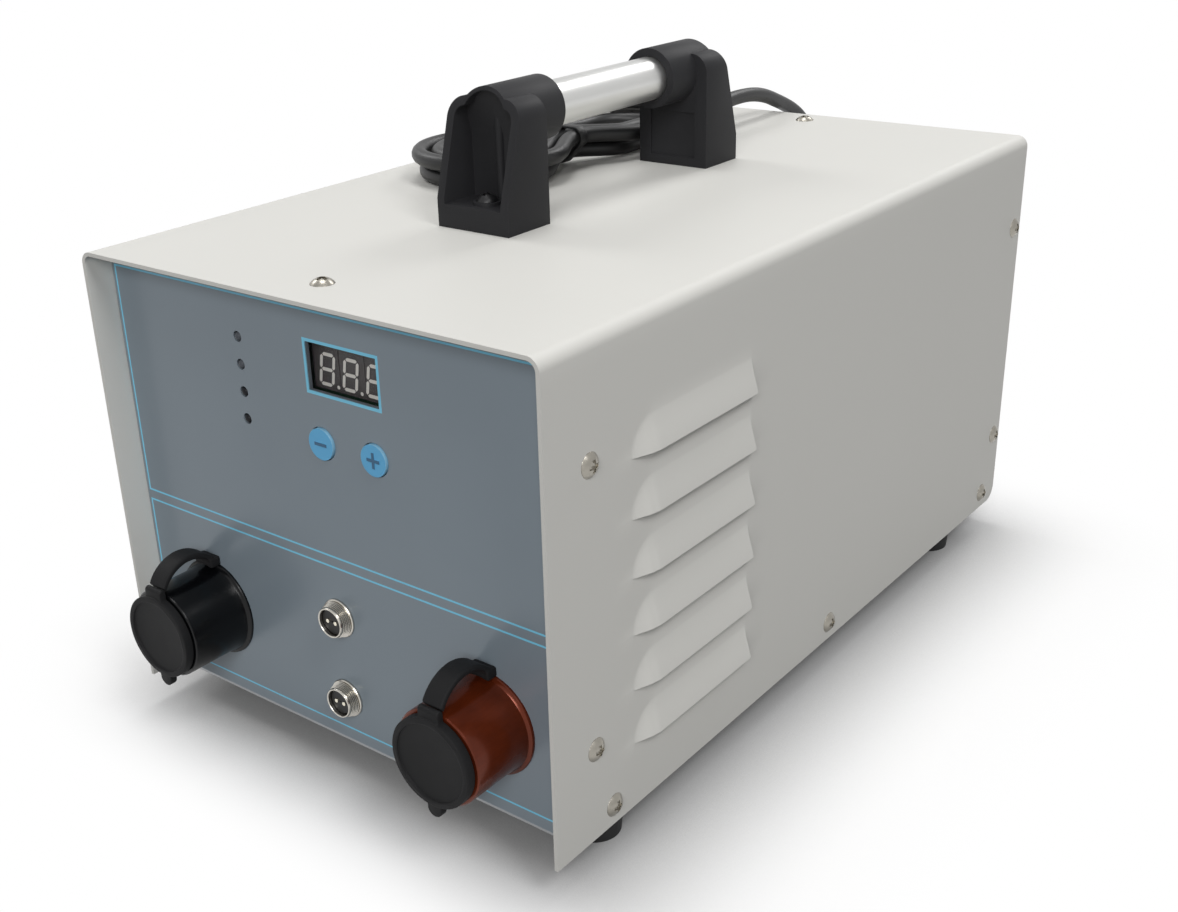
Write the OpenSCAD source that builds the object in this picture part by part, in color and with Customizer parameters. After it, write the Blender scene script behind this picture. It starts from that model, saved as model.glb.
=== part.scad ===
// Bench-top capacitor-discharge stud welder with carrying handle, weld sockets and mains lead.
// The front faces -Y and +Z is up. The origin is on the floor under the middle of the machine.

/* [Case] */
// Outside width of the cover
case_w = 220; // [182:1:280]
// Depth of the cover from its front edge to its rear edge
case_d = 366; // [303:1:460]
// Height of the cover from its lower edge to its top
case_h = 185; // [153:1:260]
// Thickness of the sheet steel
sheet = 1.5; // [1:0.1:2]
// Outside radius of the two bends along the top
bend_r = 5; // [3:0.5:10]
// Height of the cover's lower edge above the floor
foot_gap = 14; // [8:0.5:24]
// Depth of the front panel behind the cover's front edge
front_setback = 12; // [6:0.5:15]
// Depth of the rear panel inside the cover's rear edge
rear_setback = 22; // [20:0.5:30]
// Radius of the cover's rear lower corners
tail_corner_r = 7; // [3:0.5:12]

/* [Louvres] */
// Louvres on each side
louvre_count = 6; // [3:1:6]
// Length of a louvre
louvre_len = 76; // [40:1:110]
// Height of a louvre above its lip
louvre_h = 13; // [8:0.5:16]
// Distance that a louvre's lip stands out
louvre_out = 3.6; // [2:0.1:6]
// Spacing of the louvres
louvre_pitch = 22; // [18:0.5:24]
// Lip of the lowest louvre above the cover's lower edge
louvre_low = 27; // [22:0.5:34]
// Front tip of the louvres behind the cover's front edge
louvre_front = 45; // [34:1:80]
// Length of the tapered front end of a louvre
louvre_taper = 12; // [6:0.5:20]

/* [Screws and feet] */
// Diameter of the pan heads
screw_head_d = 9; // [7:0.5:10]
// Height of the pan heads
screw_head_h = 2.2; // [1.5:0.1:3]
// Diameter of the screw shanks
screw_d = 4; // [3:0.1:5]
// Length of the screw shanks
screw_len = 8; // [6:0.5:12]
// Front side screws behind the cover's front edge
side_front_y = 23; // [20:0.5:28]
// Rear side screws in from the cover's rear edge
side_rear_inset = 7; // [6:0.5:12]
// Lower side screws above the cover's lower edge
side_low_z = 37; // [28:0.5:50]
// Upper side screws above the cover's lower edge
side_high_z = 143; // [110:0.5:155]
// Skirt screws above the cover's lower edge
skirt_z = 8; // [7:0.5:10]
// Places of the skirt screws behind the cover's front edge
skirt_front_y = 33; // [28:1:60]
// Middle skirt screw behind the cover's front edge
skirt_mid_y = 190; // [150:1:220]
// Rear skirt screw in from the cover's rear edge
skirt_rear_inset = 16; // [10:1:60]
// Front top screw behind the cover's front edge
top_front_y = 19.5; // [19:0.5:26]
// Rear top screw in from the cover's rear edge
top_rear_inset = 14; // [8:0.5:16]
// Diameter of a foot
foot_d = 23; // [14:0.5:30]
// Feet in from the cover's sides
foot_side_inset = 16; // [16:0.5:50]
// Feet in from the cover's front and rear edges
foot_end_inset = 42; // [30:1:80]

/* [Handle] */
// Width of a handle bracket
bracket_w = 35; // [31:0.5:46]
// Depth of a handle bracket at its foot
bracket_d = 25; // [22:0.5:34]
// Height of a bracket's flat top above the cover
bracket_h = 48.5; // [44:0.5:60]
// Outer face of the front bracket behind the cover's front edge
bracket_front_y = 98; // [60:1:110]
// Distance between the outer faces of the brackets
handle_span = 160; // [130:1:190]
// Height of the upright part of a bracket's outer face
knee_h = 11; // [10.5:0.5:16]
// Distance that the outer face leans inwards at the top
lean = 10.5; // [4:0.5:12]
// Height of the grip's axis above the cover
grip_z = 40; // [38:0.5:44]
// Diameter of the grip tube
grip_d = 18; // [14:0.5:20]
// Wall of the grip tube
grip_wall = 1.5; // [1:0.1:3]
// Outside diameter of the rings that hold the grip
ring_d = 25; // [24:0.5:28]
// Distance that a ring reaches past its bracket
ring_reach = 18; // [8:0.5:24]
// Side walls of the pocket in a bracket
pocket_wall = 3.5; // [3:0.5:5]
// Floor of the pocket in a bracket
pocket_floor = 9; // [6:0.5:10]
// Wall behind the pocket in a bracket
pocket_back = 7; // [6:0.5:9]

/* [Front panel] */
// Thickness of the printed film
film_t = 0.4; // [0.2:0.1:0.8]
// Width of the display window
window_w = 34; // [28:0.5:36]
// Height of the display window
window_h = 18; // [14:0.5:18]
// Display and buttons to the right of the middle
display_x = 13.5; // [5:0.5:20]
// Middle of the display above the cover's lower edge
display_z = 157; // [150:0.5:157]
// Diameter of an indicator lamp
lamp_d = 3.6; // [3:0.1:5]
// Indicator lamps to the left of the middle
lamp_x = 39; // [32:0.5:39]
// Top lamp above the cover's lower edge
lamp_top_z = 161; // [155:0.5:163]
// Spacing of the indicator lamps
lamp_pitch = 10.6; // [8:0.1:10.8]
// Diameter of the buttons
button_d = 12; // [8:0.5:13]
// Distance between the buttons
button_span = 25.8; // [22:0.1:28]
// Buttons above the cover's lower edge
button_z = 128.5; // [127:0.5:132]
// Travel of a button
button_stroke = 0.6; // [0.3:0.1:1]

/* [Weld sockets] */
// Distance between the sockets
socket_span = 144; // [110:1:148]
// Sockets above the cover's lower edge
socket_z = 40; // [36:0.5:46]
// Diameter of a socket barrel
socket_d = 37; // [35:0.5:40]
// Length of a socket in front of the panel
socket_len = 27; // [24:0.5:34]
// Diameter of the flange on the panel
socket_flange_d = 41; // [41:0.5:44]
// Thickness of the flange on the panel
socket_flange_t = 3; // [2:0.5:5]
// Wall of the socket barrel
socket_wall = 3.7; // [2.5:0.1:4]
// Outside diameter of the contact
contact_d = 20; // [18:0.5:21]
// Bore of the contact for the cable plug
contact_bore_d = 13.2; // [9:0.1:14]
// Depth of the contact bore
contact_bore_len = 22; // [16:0.5:22]
// Diameter of a cap
cap_d = 34.4; // [32:0.2:37]
// Thickness of a cap's disc
cap_t = 3; // [2:0.2:4]
// Width of a cap's strap
strap_w = 9; // [6:0.5:12]
// Thickness of a cap's strap
strap_t = 2.4; // [1.8:0.1:3]

/* [Control connectors] */
// Upper connector above the cover's lower edge
upper_connector_z = 58; // [54:0.5:64]
// Lower connector above the cover's lower edge
lower_connector_z = 23; // [20:0.5:30]
// Diameter of the connector thread
connector_d = 12; // [10:0.5:16]
// Diameter of the connector flange
connector_flange_d = 16; // [16:0.5:20]
// Length of a connector in front of the panel
connector_len = 5.5; // [4:0.5:9]

/* [Rear panel] */
// Side of the square fan
fan_w = 80; // [60:1:92]
// Depth of the fan
fan_t = 25; // [20:0.5:32]
// Fan to the right of the middle
fan_x = 48; // [44:1:54]
// Middle of the fan above the cover's lower edge
fan_z = 112; // [80:1:125]
// Width of the rocker switch plate
switch_w = 22; // [20:0.5:26]
// Height of the rocker switch plate
switch_h = 34; // [33:0.5:40]
// Switch and fuse to the left of the middle
switch_x = 62; // [40:1:80]
// Switch above the cover's lower edge
switch_z = 140; // [120:1:150]
// Tilt of the rocker between off and on
rocker_tilt = 18; // [10:1:20]
// Fuse holder above the cover's lower edge
fuse_z = 96; // [80:1:105]
// Diameter of the fuse cap
fuse_cap_d = 13; // [11:0.5:16]
// Cable gland above the cover's lower edge
gland_z = 50; // [40:1:56]
// Earth stud above the cover's lower edge
earth_z = 40; // [26:1:56]

/* [Inside] */
// Diameter of a capacitor
cap_can_d = 50; // [36:1:52]
// Height of a capacitor
cap_can_h = 105; // [70:1:115]
// Length of the transformer core
core_l = 84; // [60:1:90]
// Width of the transformer core across the case
core_w = 56; // [44:1:66]
// Height of the transformer core
core_h = 72; // [50:1:90]
// Length of the heat sink
sink_l = 70; // [50:1:74]
// Width of the heat sink
sink_w = 60; // [44:1:64]
// Height of the heat sink
sink_h = 48; // [36:1:70]

/* [Mains lead] */
// Diameter of the mains lead
cord_d = 7; // [6:0.5:7.2]
// Width of the plug
plug_w = 26; // [18:0.5:26]
// Thickness of the plug
plug_t = 16; // [13:0.5:16]
// Length of the plug body
plug_l = 34; // [24:0.5:36]

/* [Hidden] */
$fn = 48;

// Overrun of every cut past the face that it opens
over = 1;
// Gap between sheets that lie against each other
seam = 0.2;
// Radial room round a screw or a plain round piece in its hole
hole_room = 0.3;
// Gap between a moving piece and what it passes
run_gap = 0.35;
// Radial room of a pin that turns in its hole
pin_room = 0.06;

// Case that the places on its faces and the pieces inside it are given for
drawn_w = 220;
drawn_d = 366;
drawn_h = 185;
// Growth of the case against that one, across, along and upwards, and the lesser of the first two
wide = case_w / drawn_w;
deep = case_d / drawn_d;
tall = case_h / drawn_h;
snug = min(wide, deep);

// Places of the case
cap_rim_t = 0.8;
flange_margin = 2;
front_reach = socket_len + run_gap + cap_t + cap_rim_t + film_t - front_setback;
front_y = (front_reach - case_d) / 2;
rear_y = front_y + case_d;
top_z = foot_gap + case_h;
panel_y = front_y + front_setback;
face_y = panel_y - film_t;
back_y = rear_y - rear_setback;
inner_w = case_w - 2 * sheet;
inside_half = inner_w / 2 - seam;
base_lift = 2.5;
floor_z = foot_gap + base_lift + sheet;
front_flange = 20;
rear_flange = rear_setback - flange_margin;
skirt_flange = 13;
flange_corner = bend_r + 2 * sheet;
lid_z = top_z - sheet - seam;
handle_y = front_y + bracket_front_y * deep;

// Diameter of a foot's sole against its top
sole_share = 0.87;

// Bracket details
bracket_corner_r = 8;
pocket_rim = 1.6;
pocket_lip = 2;
pocket_turn_share = 0.55;
rib_d = 3.6;
boss_d = 11;
boss_h = 1.2;
bolt_d = 5;
bolt_head_d = 8.6;
bolt_head_h = 3;
bolt_len = 16;
panel_dent = 1;
dent_side = 6;
dent_low = 4;

// Display, lamp and button details
module_gap = 3;
module_w = 37.6;
module_h = 19;
module_t = 8;
board_t = 1.6;
board_side = 8;
board_left = lamp_x * wide + board_side;
board_right = display_x * wide + module_w / 2 + board_side;
board_low = button_z * tall - button_d / 2 - board_side;
board_high = display_z * tall + module_h / 2 + board_side;
board_y = panel_y + sheet + module_gap + module_t;
post_d = 6;
post_inset = 4;
lamp_proud = 0.5;
button_proud = 1;
button_flange = 1;
button_flange_t = 1.2;
key_w = 6;
key_h = 4;
key_stem_d = 3.5;
key_gap = button_stroke + seam;

// Socket details
spigot_d = 26;
spigot_len = 12;
socket_floor = 7;
socket_nut_d = 34;
socket_nut_t = 6;
contact_tail = 14;
contact_stud_d = 8;
contact_stud_len = 18;
contact_recess = 4.5;
cap_rim_w = 2.4;
cap_plug_room = 0.9;
cap_plug_wall = 3;
cap_plug_len = 4;
cap_tab_d = 6.4;
cap_tab_reach = 5;
bead_d = 3;
bead_rise = 1;
bead_z = socket_d / 2 + bead_rise;
bead_out = socket_len + run_gap + cap_t / 2;
strap_r = 15.8;
strap_lean = 14;
anchor_l = 5;
anchor_w = 10;
anchor_h = 5;

// Connector details
connector_flange_t = 1.5;
connector_wall = 1.4;
connector_tail = 12;
insert_sink = 2;
insert_t = 6;
contact_pin_d = 1.6;
contact_pin_gap = 4;
contact_pin_len = 15;
nut_t = 3;
nut_room = 5;

// Fan details
fan_rim = 2;
fan_hole_d = fan_w - 2 * fan_rim;
fan_hub_d = 34;
fan_hub_len = 17;
fan_motor_t = 4;
fan_pin_d = 3;
fan_strut_w = 5;
fan_screw_inset = 4.25;
fan_screw_span = fan_w - 2 * fan_screw_inset;
fan_blades = 7;
blade_t = 1.4;
blade_pitch = 38;
blade_len = 14;
guard_wire_d = 2;
guard_rings = 5;
guard_eye_d = 9;
guard_standoff = 2;
guard_half = fan_screw_span / sqrt(2) - screw_d / 2 - 2 * hole_room;

// Switch details
switch_plate_t = 2.5;
switch_lip = 2;
switch_depth = 18;
rocker_room = 0.5;
rocker_pivot_d = 3;
rocker_pivot_len = 1.5;
rocker_rise = 4.2;
rocker_depth = 5;

// Fuse, gland and earth details
fuse_flange_d = 16;
fuse_flange_t = 3;
fuse_tail_d = 12;
fuse_tail_len = 28;
fuse_cap_len = 9;
fuse_stem_d = 6;
fuse_stem_len = 10;
gland_hex_d = 22;
gland_hex_t = 5;
gland_dome_d = 17;
gland_dome_l = 7;
gland_tip_d = 10;
gland_len = 20;
gland_tail_d = 15;
gland_tail_len = 10;
gland_x = 0;
earth_x = 85;
earth_d = 6;
earth_len = 16;
earth_nut_d = 11.5;
earth_nut_t = 5;
earth_tail = 8;

// Inside details
can_gap = 5;
can_wall_gap = 8;
can_front_gap = 62;
can_rows = 3;
can_columns = 2;
terminal_d = 8;
terminal_h = 4;
terminal_span = 22;
clamp_t = 1.6;
clamp_h = 18;
clamp_tab = 7;
bar_w = 14;
bar_t = 3;
core_front_gap = 62;
core_side_gap = 8;
coil_out = 9;
coil_h_share = 0.62;
coil_r = 9;
sink_gap = 8;
sink_base = 8;
fin_count = 8;
fin_t = 2;
thyristor_l = 60;
thyristor_w = 28;
thyristor_h = 22;
bridge_w = 28;
bridge_h = 10;
resistor_l = 60;
resistor_w = 20;
resistor_h = 18;
resistor_gap = 6;
control_l = 62;
control_w = 86;
control_post = 8;
control_gap = 22;

// Hank of the mains lead: one tube that spirals in and out in two layers, drawn in at its tie
hank_x = -56.5;
hank_rear_inset = 91;
hank_run = 99;
hank_layer = 7.5;
hank_rest = 0.3;
hank_draw = 12;
hank_draw_half = 33;
hank_tie_lift = 2;
hank_loops = 2.75;
hank_rings = 24;
hank_sides = 6;
hank_rear_y = rear_y - hank_rear_inset * deep;
hank_front_y = hank_rear_y - hank_run;
hank_tie_y = hank_front_y + hank_draw_half;
// Loops after which the spiral starts, reverses and ends, and its radius there
hank_reverse_shares = [0, 1.125, 2.75];
hank_radii = [31, 21, 35];
hank_climb_share = 0.11;
plug_lead = 32;
tie_w = 5;
tie_t = 1.2;
tie_room = 0.4;
tie_side_room = 1.2;
tie_head_w = 7;
tie_head_t = 4;
boot_len = 12;
boot_d = 15;
boot_tip_d = 9;
plug_corner_r = 5;
pin_w = 6.4;
pin_t = 1.8;
pin_len = 14;
pin_spread = 7;
pin_rise = 3.2;
pin_lean = 30;

// Route of the free lead: sideways, behind the cover's rear edge and above its top, then above the gland
lead_over = [
    [-21.7, -76, 11.5], [-22.1, -68, 12], [-22.5, -60, 12.6], [-22.8, -52, 13.2], [-23, -44, 13.5],
    [-23, -36, 13.4], [-23, -28, 12.8], [-23, -20, 11.5], [-23, -12, 9.4], [-23, -4, 6.5],
    [-23, 4, 3.4], [-22.8, 12, -0.2], [-22.3, 19.5, -4.8], [-21.5, 26, -10.8], [-20.3, 31, -18.3],
    [-18.6, 34, -27], [-16.5, 35.2, -37], [-14, 35.5, -48]
];
lead_down = [
    [-10.8, 35.5, 74], [-7.4, 35.3, 60], [-4.2, 34.8, 46], [-1.6, 33.4, 32], [-0.3, 28.5, 16],
    [0, 20, 5], [0, 7.5, 0]
];
lead_sides = 8;
lead_steps = 2;

// Box given by its low and high corners
module block(low, high) {
    translate(low) cube(high - low);
}

// Round bar along +Y
module rod_y(d, y0, y1, x = 0, z = 0) {
    translate([x, y0, z]) rotate([-90, 0, 0]) cylinder(d = d, h = y1 - y0);
}

// Round bar along +X
module rod_x(d, x0, x1, y = 0, z = 0) {
    translate([x0, y, z]) rotate([0, 90, 0]) cylinder(d = d, h = x1 - x0);
}

// Outline in X and Z drawn out along Y
module along_y(y0, y1) {
    translate([0, y1, 0]) rotate([90, 0, 0]) linear_extrude(y1 - y0) children();
}

// Outline in Y and Z drawn out along X
module along_x(x0, x1) {
    translate([x0, 0, 0]) rotate([90, 0, 90]) linear_extrude(x1 - x0) children();
}

// Place on the front film of the drawn case: children's +Z points out to the front, +Y up
module on_front(x, z) {
    translate([x * wide, face_y, foot_gap + z * tall]) rotate([90, 0, 0]) children();
}

// Place on the rear panel of the drawn case: children's +Z points out to the rear, +Y up
module on_rear(x, z) {
    translate([x * wide, back_y, foot_gap + z * tall]) rotate([90, 0, 180]) children();
}

// Plate with round corners, from z0 to z1
module round_plate(w, h, r, z0, z1) {
    translate([0, 0, z0]) linear_extrude(z1 - z0) union() {
        square([w - 2 * r, h], center = true);
        square([w, h - 2 * r], center = true);
        for (sx = [-1, 1], sy = [-1, 1]) {
            translate([sx * (w / 2 - r), sy * (h / 2 - r)]) circle(r);
        }
    }
}

// Screw along Z: a domed head above zero with a cross recess, the shank below
module pan_screw(head_d, head_h, d, len) {
    dome_r = (head_d * head_d / 4 + head_h * head_h) / (2 * head_h);
    recess_w = head_d / 6;
    difference() {
        intersection() {
            cylinder(d = head_d, h = head_h);
            translate([0, 0, head_h - dome_r]) sphere(dome_r);
        }
        for (turn = [0, 90]) {
            rotate(turn) translate([-head_d / 4, -recess_w / 2, head_h / 2])
                cube([head_d / 2, recess_w, head_h]);
        }
    }
    translate([0, 0, -len]) cylinder(d = d, h = len);
}

// Places of the screws in a side of the cover, as pairs of Y and Z
side_spots = concat(
    [for (z = [side_low_z, side_high_z], y = [front_y + side_front_y, rear_y - side_rear_inset])
        [y, foot_gap + z * tall]],
    [for (y = [front_y + skirt_front_y, front_y + skirt_mid_y, rear_y - skirt_rear_inset])
        [y, foot_gap + skirt_z]]
);
top_spots = [front_y + top_front_y, rear_y - top_rear_inset];

// Runs children at each side screw, with +Z pointing out of the cover's face
module at_side_screws() {
    for (side = [-1, 1], spot = side_spots) {
        translate([side * case_w / 2, spot[0], spot[1]]) rotate([0, side * 90, 0]) children();
    }
}

// Runs children at each top screw
module at_top_screws() {
    for (y = top_spots) translate([0, y, top_z]) children();
}

// Clearance holes for the cover's screws
module screw_holes() {
    at_side_screws() translate([0, 0, -screw_len - over])
        cylinder(d = screw_d + 2 * hole_room, h = screw_len + 2 * over);
    at_top_screws() translate([0, 0, -screw_len - over])
        cylinder(d = screw_d + 2 * hole_room, h = screw_len + 2 * over);
}

// Outline of the cover: flat sides and round top corners
module cover_outline(w, h, r) {
    translate([-w / 2, 0]) square([w, h - r]);
    translate([r - w / 2, 0]) square([w - 2 * r, h]);
    for (side = [-1, 1]) translate([side * (w / 2 - r), h - r]) circle(r);
}

// Outside of one louvre on the +X side: a wedge with a tapered front tip
module louvre_hood() {
    y0 = front_y + louvre_front;
    wedge = [[-sheet, 0], [louvre_out, 0], [0, louvre_h], [-sheet, louvre_h]];
    along_y(y0 + louvre_taper, y0 + louvre_len) polygon(wedge);
    tip = [
        [-sheet, y0, 0], [0, y0, 0], [louvre_out, y0 + louvre_taper, 0], [-sheet, y0 + louvre_taper, 0],
        [0, y0 + louvre_taper, louvre_h], [-sheet, y0 + louvre_taper, louvre_h]
    ];
    polyhedron(tip, [[0, 1, 2, 3], [1, 4, 2], [0, 5, 4, 1], [2, 4, 5, 3], [0, 3, 5]]);
}

// Hollow of one louvre on the +X side, open downwards and inwards
module louvre_hollow() {
    y0 = front_y + louvre_front + louvre_taper;
    along_y(y0, y0 + louvre_len - louvre_taper - sheet) polygon([
        [-sheet - over, -over], [louvre_out - sheet, -over], [louvre_out - sheet, 0],
        [-sheet, louvre_h - sheet], [-sheet - over, louvre_h - sheet]
    ]);
}

// Runs children at each louvre of both sides
module at_louvres() {
    for (side = [0, 1], step = [0 : louvre_count - 1]) {
        mirror([side, 0, 0])
            translate([case_w / 2, 0, foot_gap + (louvre_low + step * louvre_pitch) * tall]) children();
    }
}

module cover_shell() {
    color("gainsboro") difference() {
        union() {
            translate([0, 0, foot_gap]) along_y(front_y, rear_y) cover_outline(case_w, case_h, bend_r);
            at_louvres() louvre_hood();
        }
        translate([0, 0, foot_gap - over]) along_y(front_y - over, rear_y + over)
            cover_outline(inner_w, case_h - sheet + over, max(bend_r - sheet, sheet));
        at_louvres() louvre_hollow();
        screw_holes();
        at_brackets() translate([0, 0, -sheet - over])
            cylinder(d = bolt_d + 2 * hole_room, h = sheet + 2 * over);
        for (side = [-1, 1]) translate([side * case_w / 2, 0, 0]) tail_cut();
    }
}

// Rounds a rear lower corner of the cover
module tail_cut() {
    along_x(-2 * sheet, 2 * sheet)
    translate([rear_y - tail_corner_r, foot_gap + tail_corner_r]) difference() {
        translate([0, -tail_corner_r - over]) square(tail_corner_r + over);
        circle(tail_corner_r);
    }
}

module base_tray() {
    color("silver") difference() {
        union() {
            block([-inside_half, panel_y, foot_gap + base_lift],
                  [inside_half, rear_y - flange_margin, floor_z]);
            for (side = [-1, 1]) {
                block([min(side * inside_half, side * (inside_half - sheet)),
                       panel_y + sheet + seam, floor_z],
                      [max(side * inside_half, side * (inside_half - sheet)), rear_y - flange_margin,
                       foot_gap + skirt_flange]);
            }
        }
        screw_holes();
        at_feet() translate([0, 0, foot_gap + base_lift - over])
            cylinder(d = screw_d + 2 * hole_room, h = sheet + 2 * over);
    }
}

// Flat sheet that fills the cover, with its top corners inside the bends
module panel_sheet(y0, y1) {
    translate([0, 0, floor_z]) along_y(y0, y1) cover_outline(2 * inside_half, lid_z - floor_z, bend_r);
}

// Panel with flanges along its top and sides
module flanged_panel(y0, y1, flange_y0, flange_y1) {
    panel_sheet(y0, y1);
    block([flange_corner - inside_half, flange_y0, lid_z - sheet],
          [inside_half - flange_corner, flange_y1, lid_z]);
    for (side = [-1, 1]) {
        block([min(side * inside_half, side * (inside_half - sheet)),
               flange_y0, foot_gap + skirt_flange + seam],
              [max(side * inside_half, side * (inside_half - sheet)), flange_y1, lid_z - flange_corner]);
    }
}

// Holes shared by the front panel and its film
module front_holes() {
    reach = sheet + film_t + over;
    for (side = [-1, 1]) on_front(side * socket_span / 2, socket_z)
        translate([0, 0, -reach]) cylinder(d = spigot_d + 2 * hole_room, h = reach + over);
    for (z = [upper_connector_z, lower_connector_z]) on_front(0, z)
        translate([0, 0, -reach]) cylinder(d = connector_d + 2 * hole_room, h = reach + over);
    on_front(display_x, display_z) translate([-window_w / 2, -window_h / 2, -reach])
        cube([window_w, window_h, reach + over]);
    at_lamps() translate([0, 0, -reach]) cylinder(d = lamp_d + 2 * hole_room, h = reach + over);
    at_buttons([-1, 1]) translate([0, 0, -reach]) cylinder(d = button_d + 2 * run_gap, h = reach + over);
}

module front_panel() {
    color("slategray") difference() {
        flanged_panel(panel_y, panel_y + sheet, panel_y, panel_y + front_flange);
        front_holes();
        screw_holes();
    }
}

module front_film() {
    color("lightslategray") difference() {
        panel_sheet(face_y, panel_y);
        front_holes();
    }
}

module rear_panel() {
    color("gainsboro") difference() {
        flanged_panel(back_y - sheet, back_y, back_y - sheet, back_y + rear_flange);
        screw_holes();
        for (side = [-1, 1]) translate([side * inside_half, 0, 0])
            block([-sheet - seam, back_y - sheet - over, floor_z - over],
                  [sheet + seam, back_y + over, foot_gap + skirt_flange + seam]);
        on_rear(fan_x, fan_z) translate([0, 0, -sheet - over]) cylinder(d = fan_hole_d, h = sheet + 2 * over);
        at_fan_screws() translate([0, 0, -sheet - over])
            cylinder(d = screw_d + 2 * hole_room, h = sheet + 2 * over);
        on_rear(-switch_x, switch_z) translate([0, 0, -sheet - over])
            round_plate(switch_w - 2 * switch_lip + 2 * seam, switch_h - 2 * switch_lip + 2 * seam,
                        switch_lip, 0, sheet + 2 * over);
        on_rear(-switch_x, fuse_z) translate([0, 0, -sheet - over])
            cylinder(d = fuse_tail_d + 2 * hole_room, h = sheet + 2 * over);
        on_rear(gland_x, gland_z) translate([0, 0, -sheet - over])
            cylinder(d = gland_tail_d + 2 * hole_room, h = sheet + 2 * over);
        on_rear(-earth_x, earth_z) translate([0, 0, -sheet - over])
            cylinder(d = earth_d + 2 * hole_room, h = sheet + 2 * over);
    }
}

// Runs children under each foot's place, at floor level
module at_feet() {
    for (side = [-1, 1], y = [front_y + foot_end_inset, rear_y - foot_end_inset]) {
        translate([side * (case_w / 2 - foot_side_inset), y, 0]) children();
    }
}

module rubber_feet() {
    sole = foot_d * sole_share;
    color("black") at_feet() difference() {
        cylinder(d1 = sole, d2 = foot_d, h = foot_gap + base_lift);
        translate([0, 0, -over]) cylinder(d = screw_head_d + 2 * hole_room, h = foot_gap / 2 + over);
        cylinder(d = screw_d + 2 * hole_room, h = foot_gap + base_lift + over);
    }
}

module foot_screws() {
    color("silver") at_feet() translate([0, 0, foot_gap / 2]) mirror([0, 0, 1])
        pan_screw(screw_head_d - 2 * hole_room, screw_head_h, screw_d, foot_gap / 2 + base_lift + sheet);
}

module cover_screws() {
    color("silver") {
        at_side_screws() pan_screw(screw_head_d, screw_head_h, screw_d, screw_len);
        at_top_screws() pan_screw(screw_head_d, screw_head_h, screw_d, screw_len);
    }
}

// Runs children at each bracket's bolt, at the cover's top
module at_brackets() {
    bolt_y = (bracket_d - pocket_back) / 2;
    for (y = [handle_y + bolt_y, handle_y + handle_span - bolt_y]) {
        translate([0, y, top_z]) children();
    }
}

// Bracket with its outer face towards -Y, standing on the cover's top at Y and Z zero
module handle_bracket() {
    bolt_y = (bracket_d - pocket_back) / 2;
    crown_z = max(grip_z + ring_d / 2, bracket_h);
    crown_y = lean * (crown_z - knee_h) / (bracket_h - knee_h);
    over_z = 2 * crown_z - knee_h;
    pocket_half = bracket_w / 2 - pocket_wall;
    pocket_end = bracket_d - pocket_back;
    pocket_turn_z = pocket_floor + pocket_turn_share * (crown_z - pocket_floor);
    difference() {
        union() {
            along_y(-over, bracket_d) cover_outline(bracket_w, bracket_h, bracket_corner_r);
            rod_y(ring_d, -over, bracket_d + ring_reach, 0, grip_z);
        }
        along_x(-bracket_w, bracket_w)
            polygon([[0, knee_h], [2 * crown_y, over_z], [-bracket_d, over_z],
                     [-bracket_d, -over], [0, -over]]);
        difference() {
            intersection() {
                union() {
                    along_y(-bracket_d, pocket_end)
                        cover_outline(2 * pocket_half, bracket_h - pocket_wall,
                                      bracket_corner_r - pocket_wall);
                    rod_y(ring_d - 2 * pocket_rim, -bracket_d, pocket_end, 0, grip_z);
                }
                along_x(-bracket_w, bracket_w)
                    polygon([[-bracket_d, pocket_floor], [pocket_end, pocket_floor],
                             [pocket_end, pocket_turn_z],
                             [min(pocket_end, crown_y + pocket_lip), crown_z], [-bracket_d, crown_z]]);
            }
            translate([0, pocket_end, 0]) cylinder(d = rib_d, h = grip_z);
            translate([0, bolt_y, 0]) cylinder(d = boss_d, h = pocket_floor + boss_h);
        }
        translate([0, bolt_y, -over])
            cylinder(d = bolt_d + 2 * hole_room, h = pocket_floor + boss_h + 2 * over);
        rod_y(grip_d + hole_room, pocket_end + panel_dent + grip_wall,
              bracket_d + ring_reach + over, 0, grip_z);
        block([dent_side - bracket_w / 2, bracket_d - panel_dent, dent_low],
              [bracket_w / 2 - dent_side, bracket_d + over, grip_z - ring_d / 2 - dent_low]);
    }
}

module front_handle_bracket() {
    color("dimgray") translate([0, handle_y, top_z]) handle_bracket();
}

module rear_handle_bracket() {
    color("dimgray") translate([0, handle_y + handle_span, top_z]) mirror([0, 1, 0]) handle_bracket();
}

module handle_tube() {
    end_in = bracket_d - pocket_back + panel_dent + grip_wall + hole_room;
    y0 = handle_y + end_in;
    y1 = handle_y + handle_span - end_in;
    color("lightgray") difference() {
        rod_y(grip_d, y0, y1, 0, top_z + grip_z);
        rod_y(grip_d - 2 * grip_wall, y0 - over, y1 + over, 0, top_z + grip_z);
    }
}

module handle_screws() {
    color("silver") at_brackets() translate([0, 0, pocket_floor + boss_h])
        pan_screw(bolt_head_d, bolt_head_h, bolt_d, bolt_len);
}

// Runs children at each lamp, on the front film
module at_lamps() {
    for (step = [0 : 3]) on_front(-lamp_x, lamp_top_z - step * lamp_pitch) children();
}

// Runs children at the buttons named by their side, on the front film
module at_buttons(sides) {
    for (side = sides) on_front(display_x + side * button_span / 2, button_z) children();
}

module display_window() {
    color("black") on_front(display_x, display_z)
        round_plate(window_w - 2 * seam, window_h - 2 * seam, seam, -film_t - sheet, 0);
}

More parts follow.
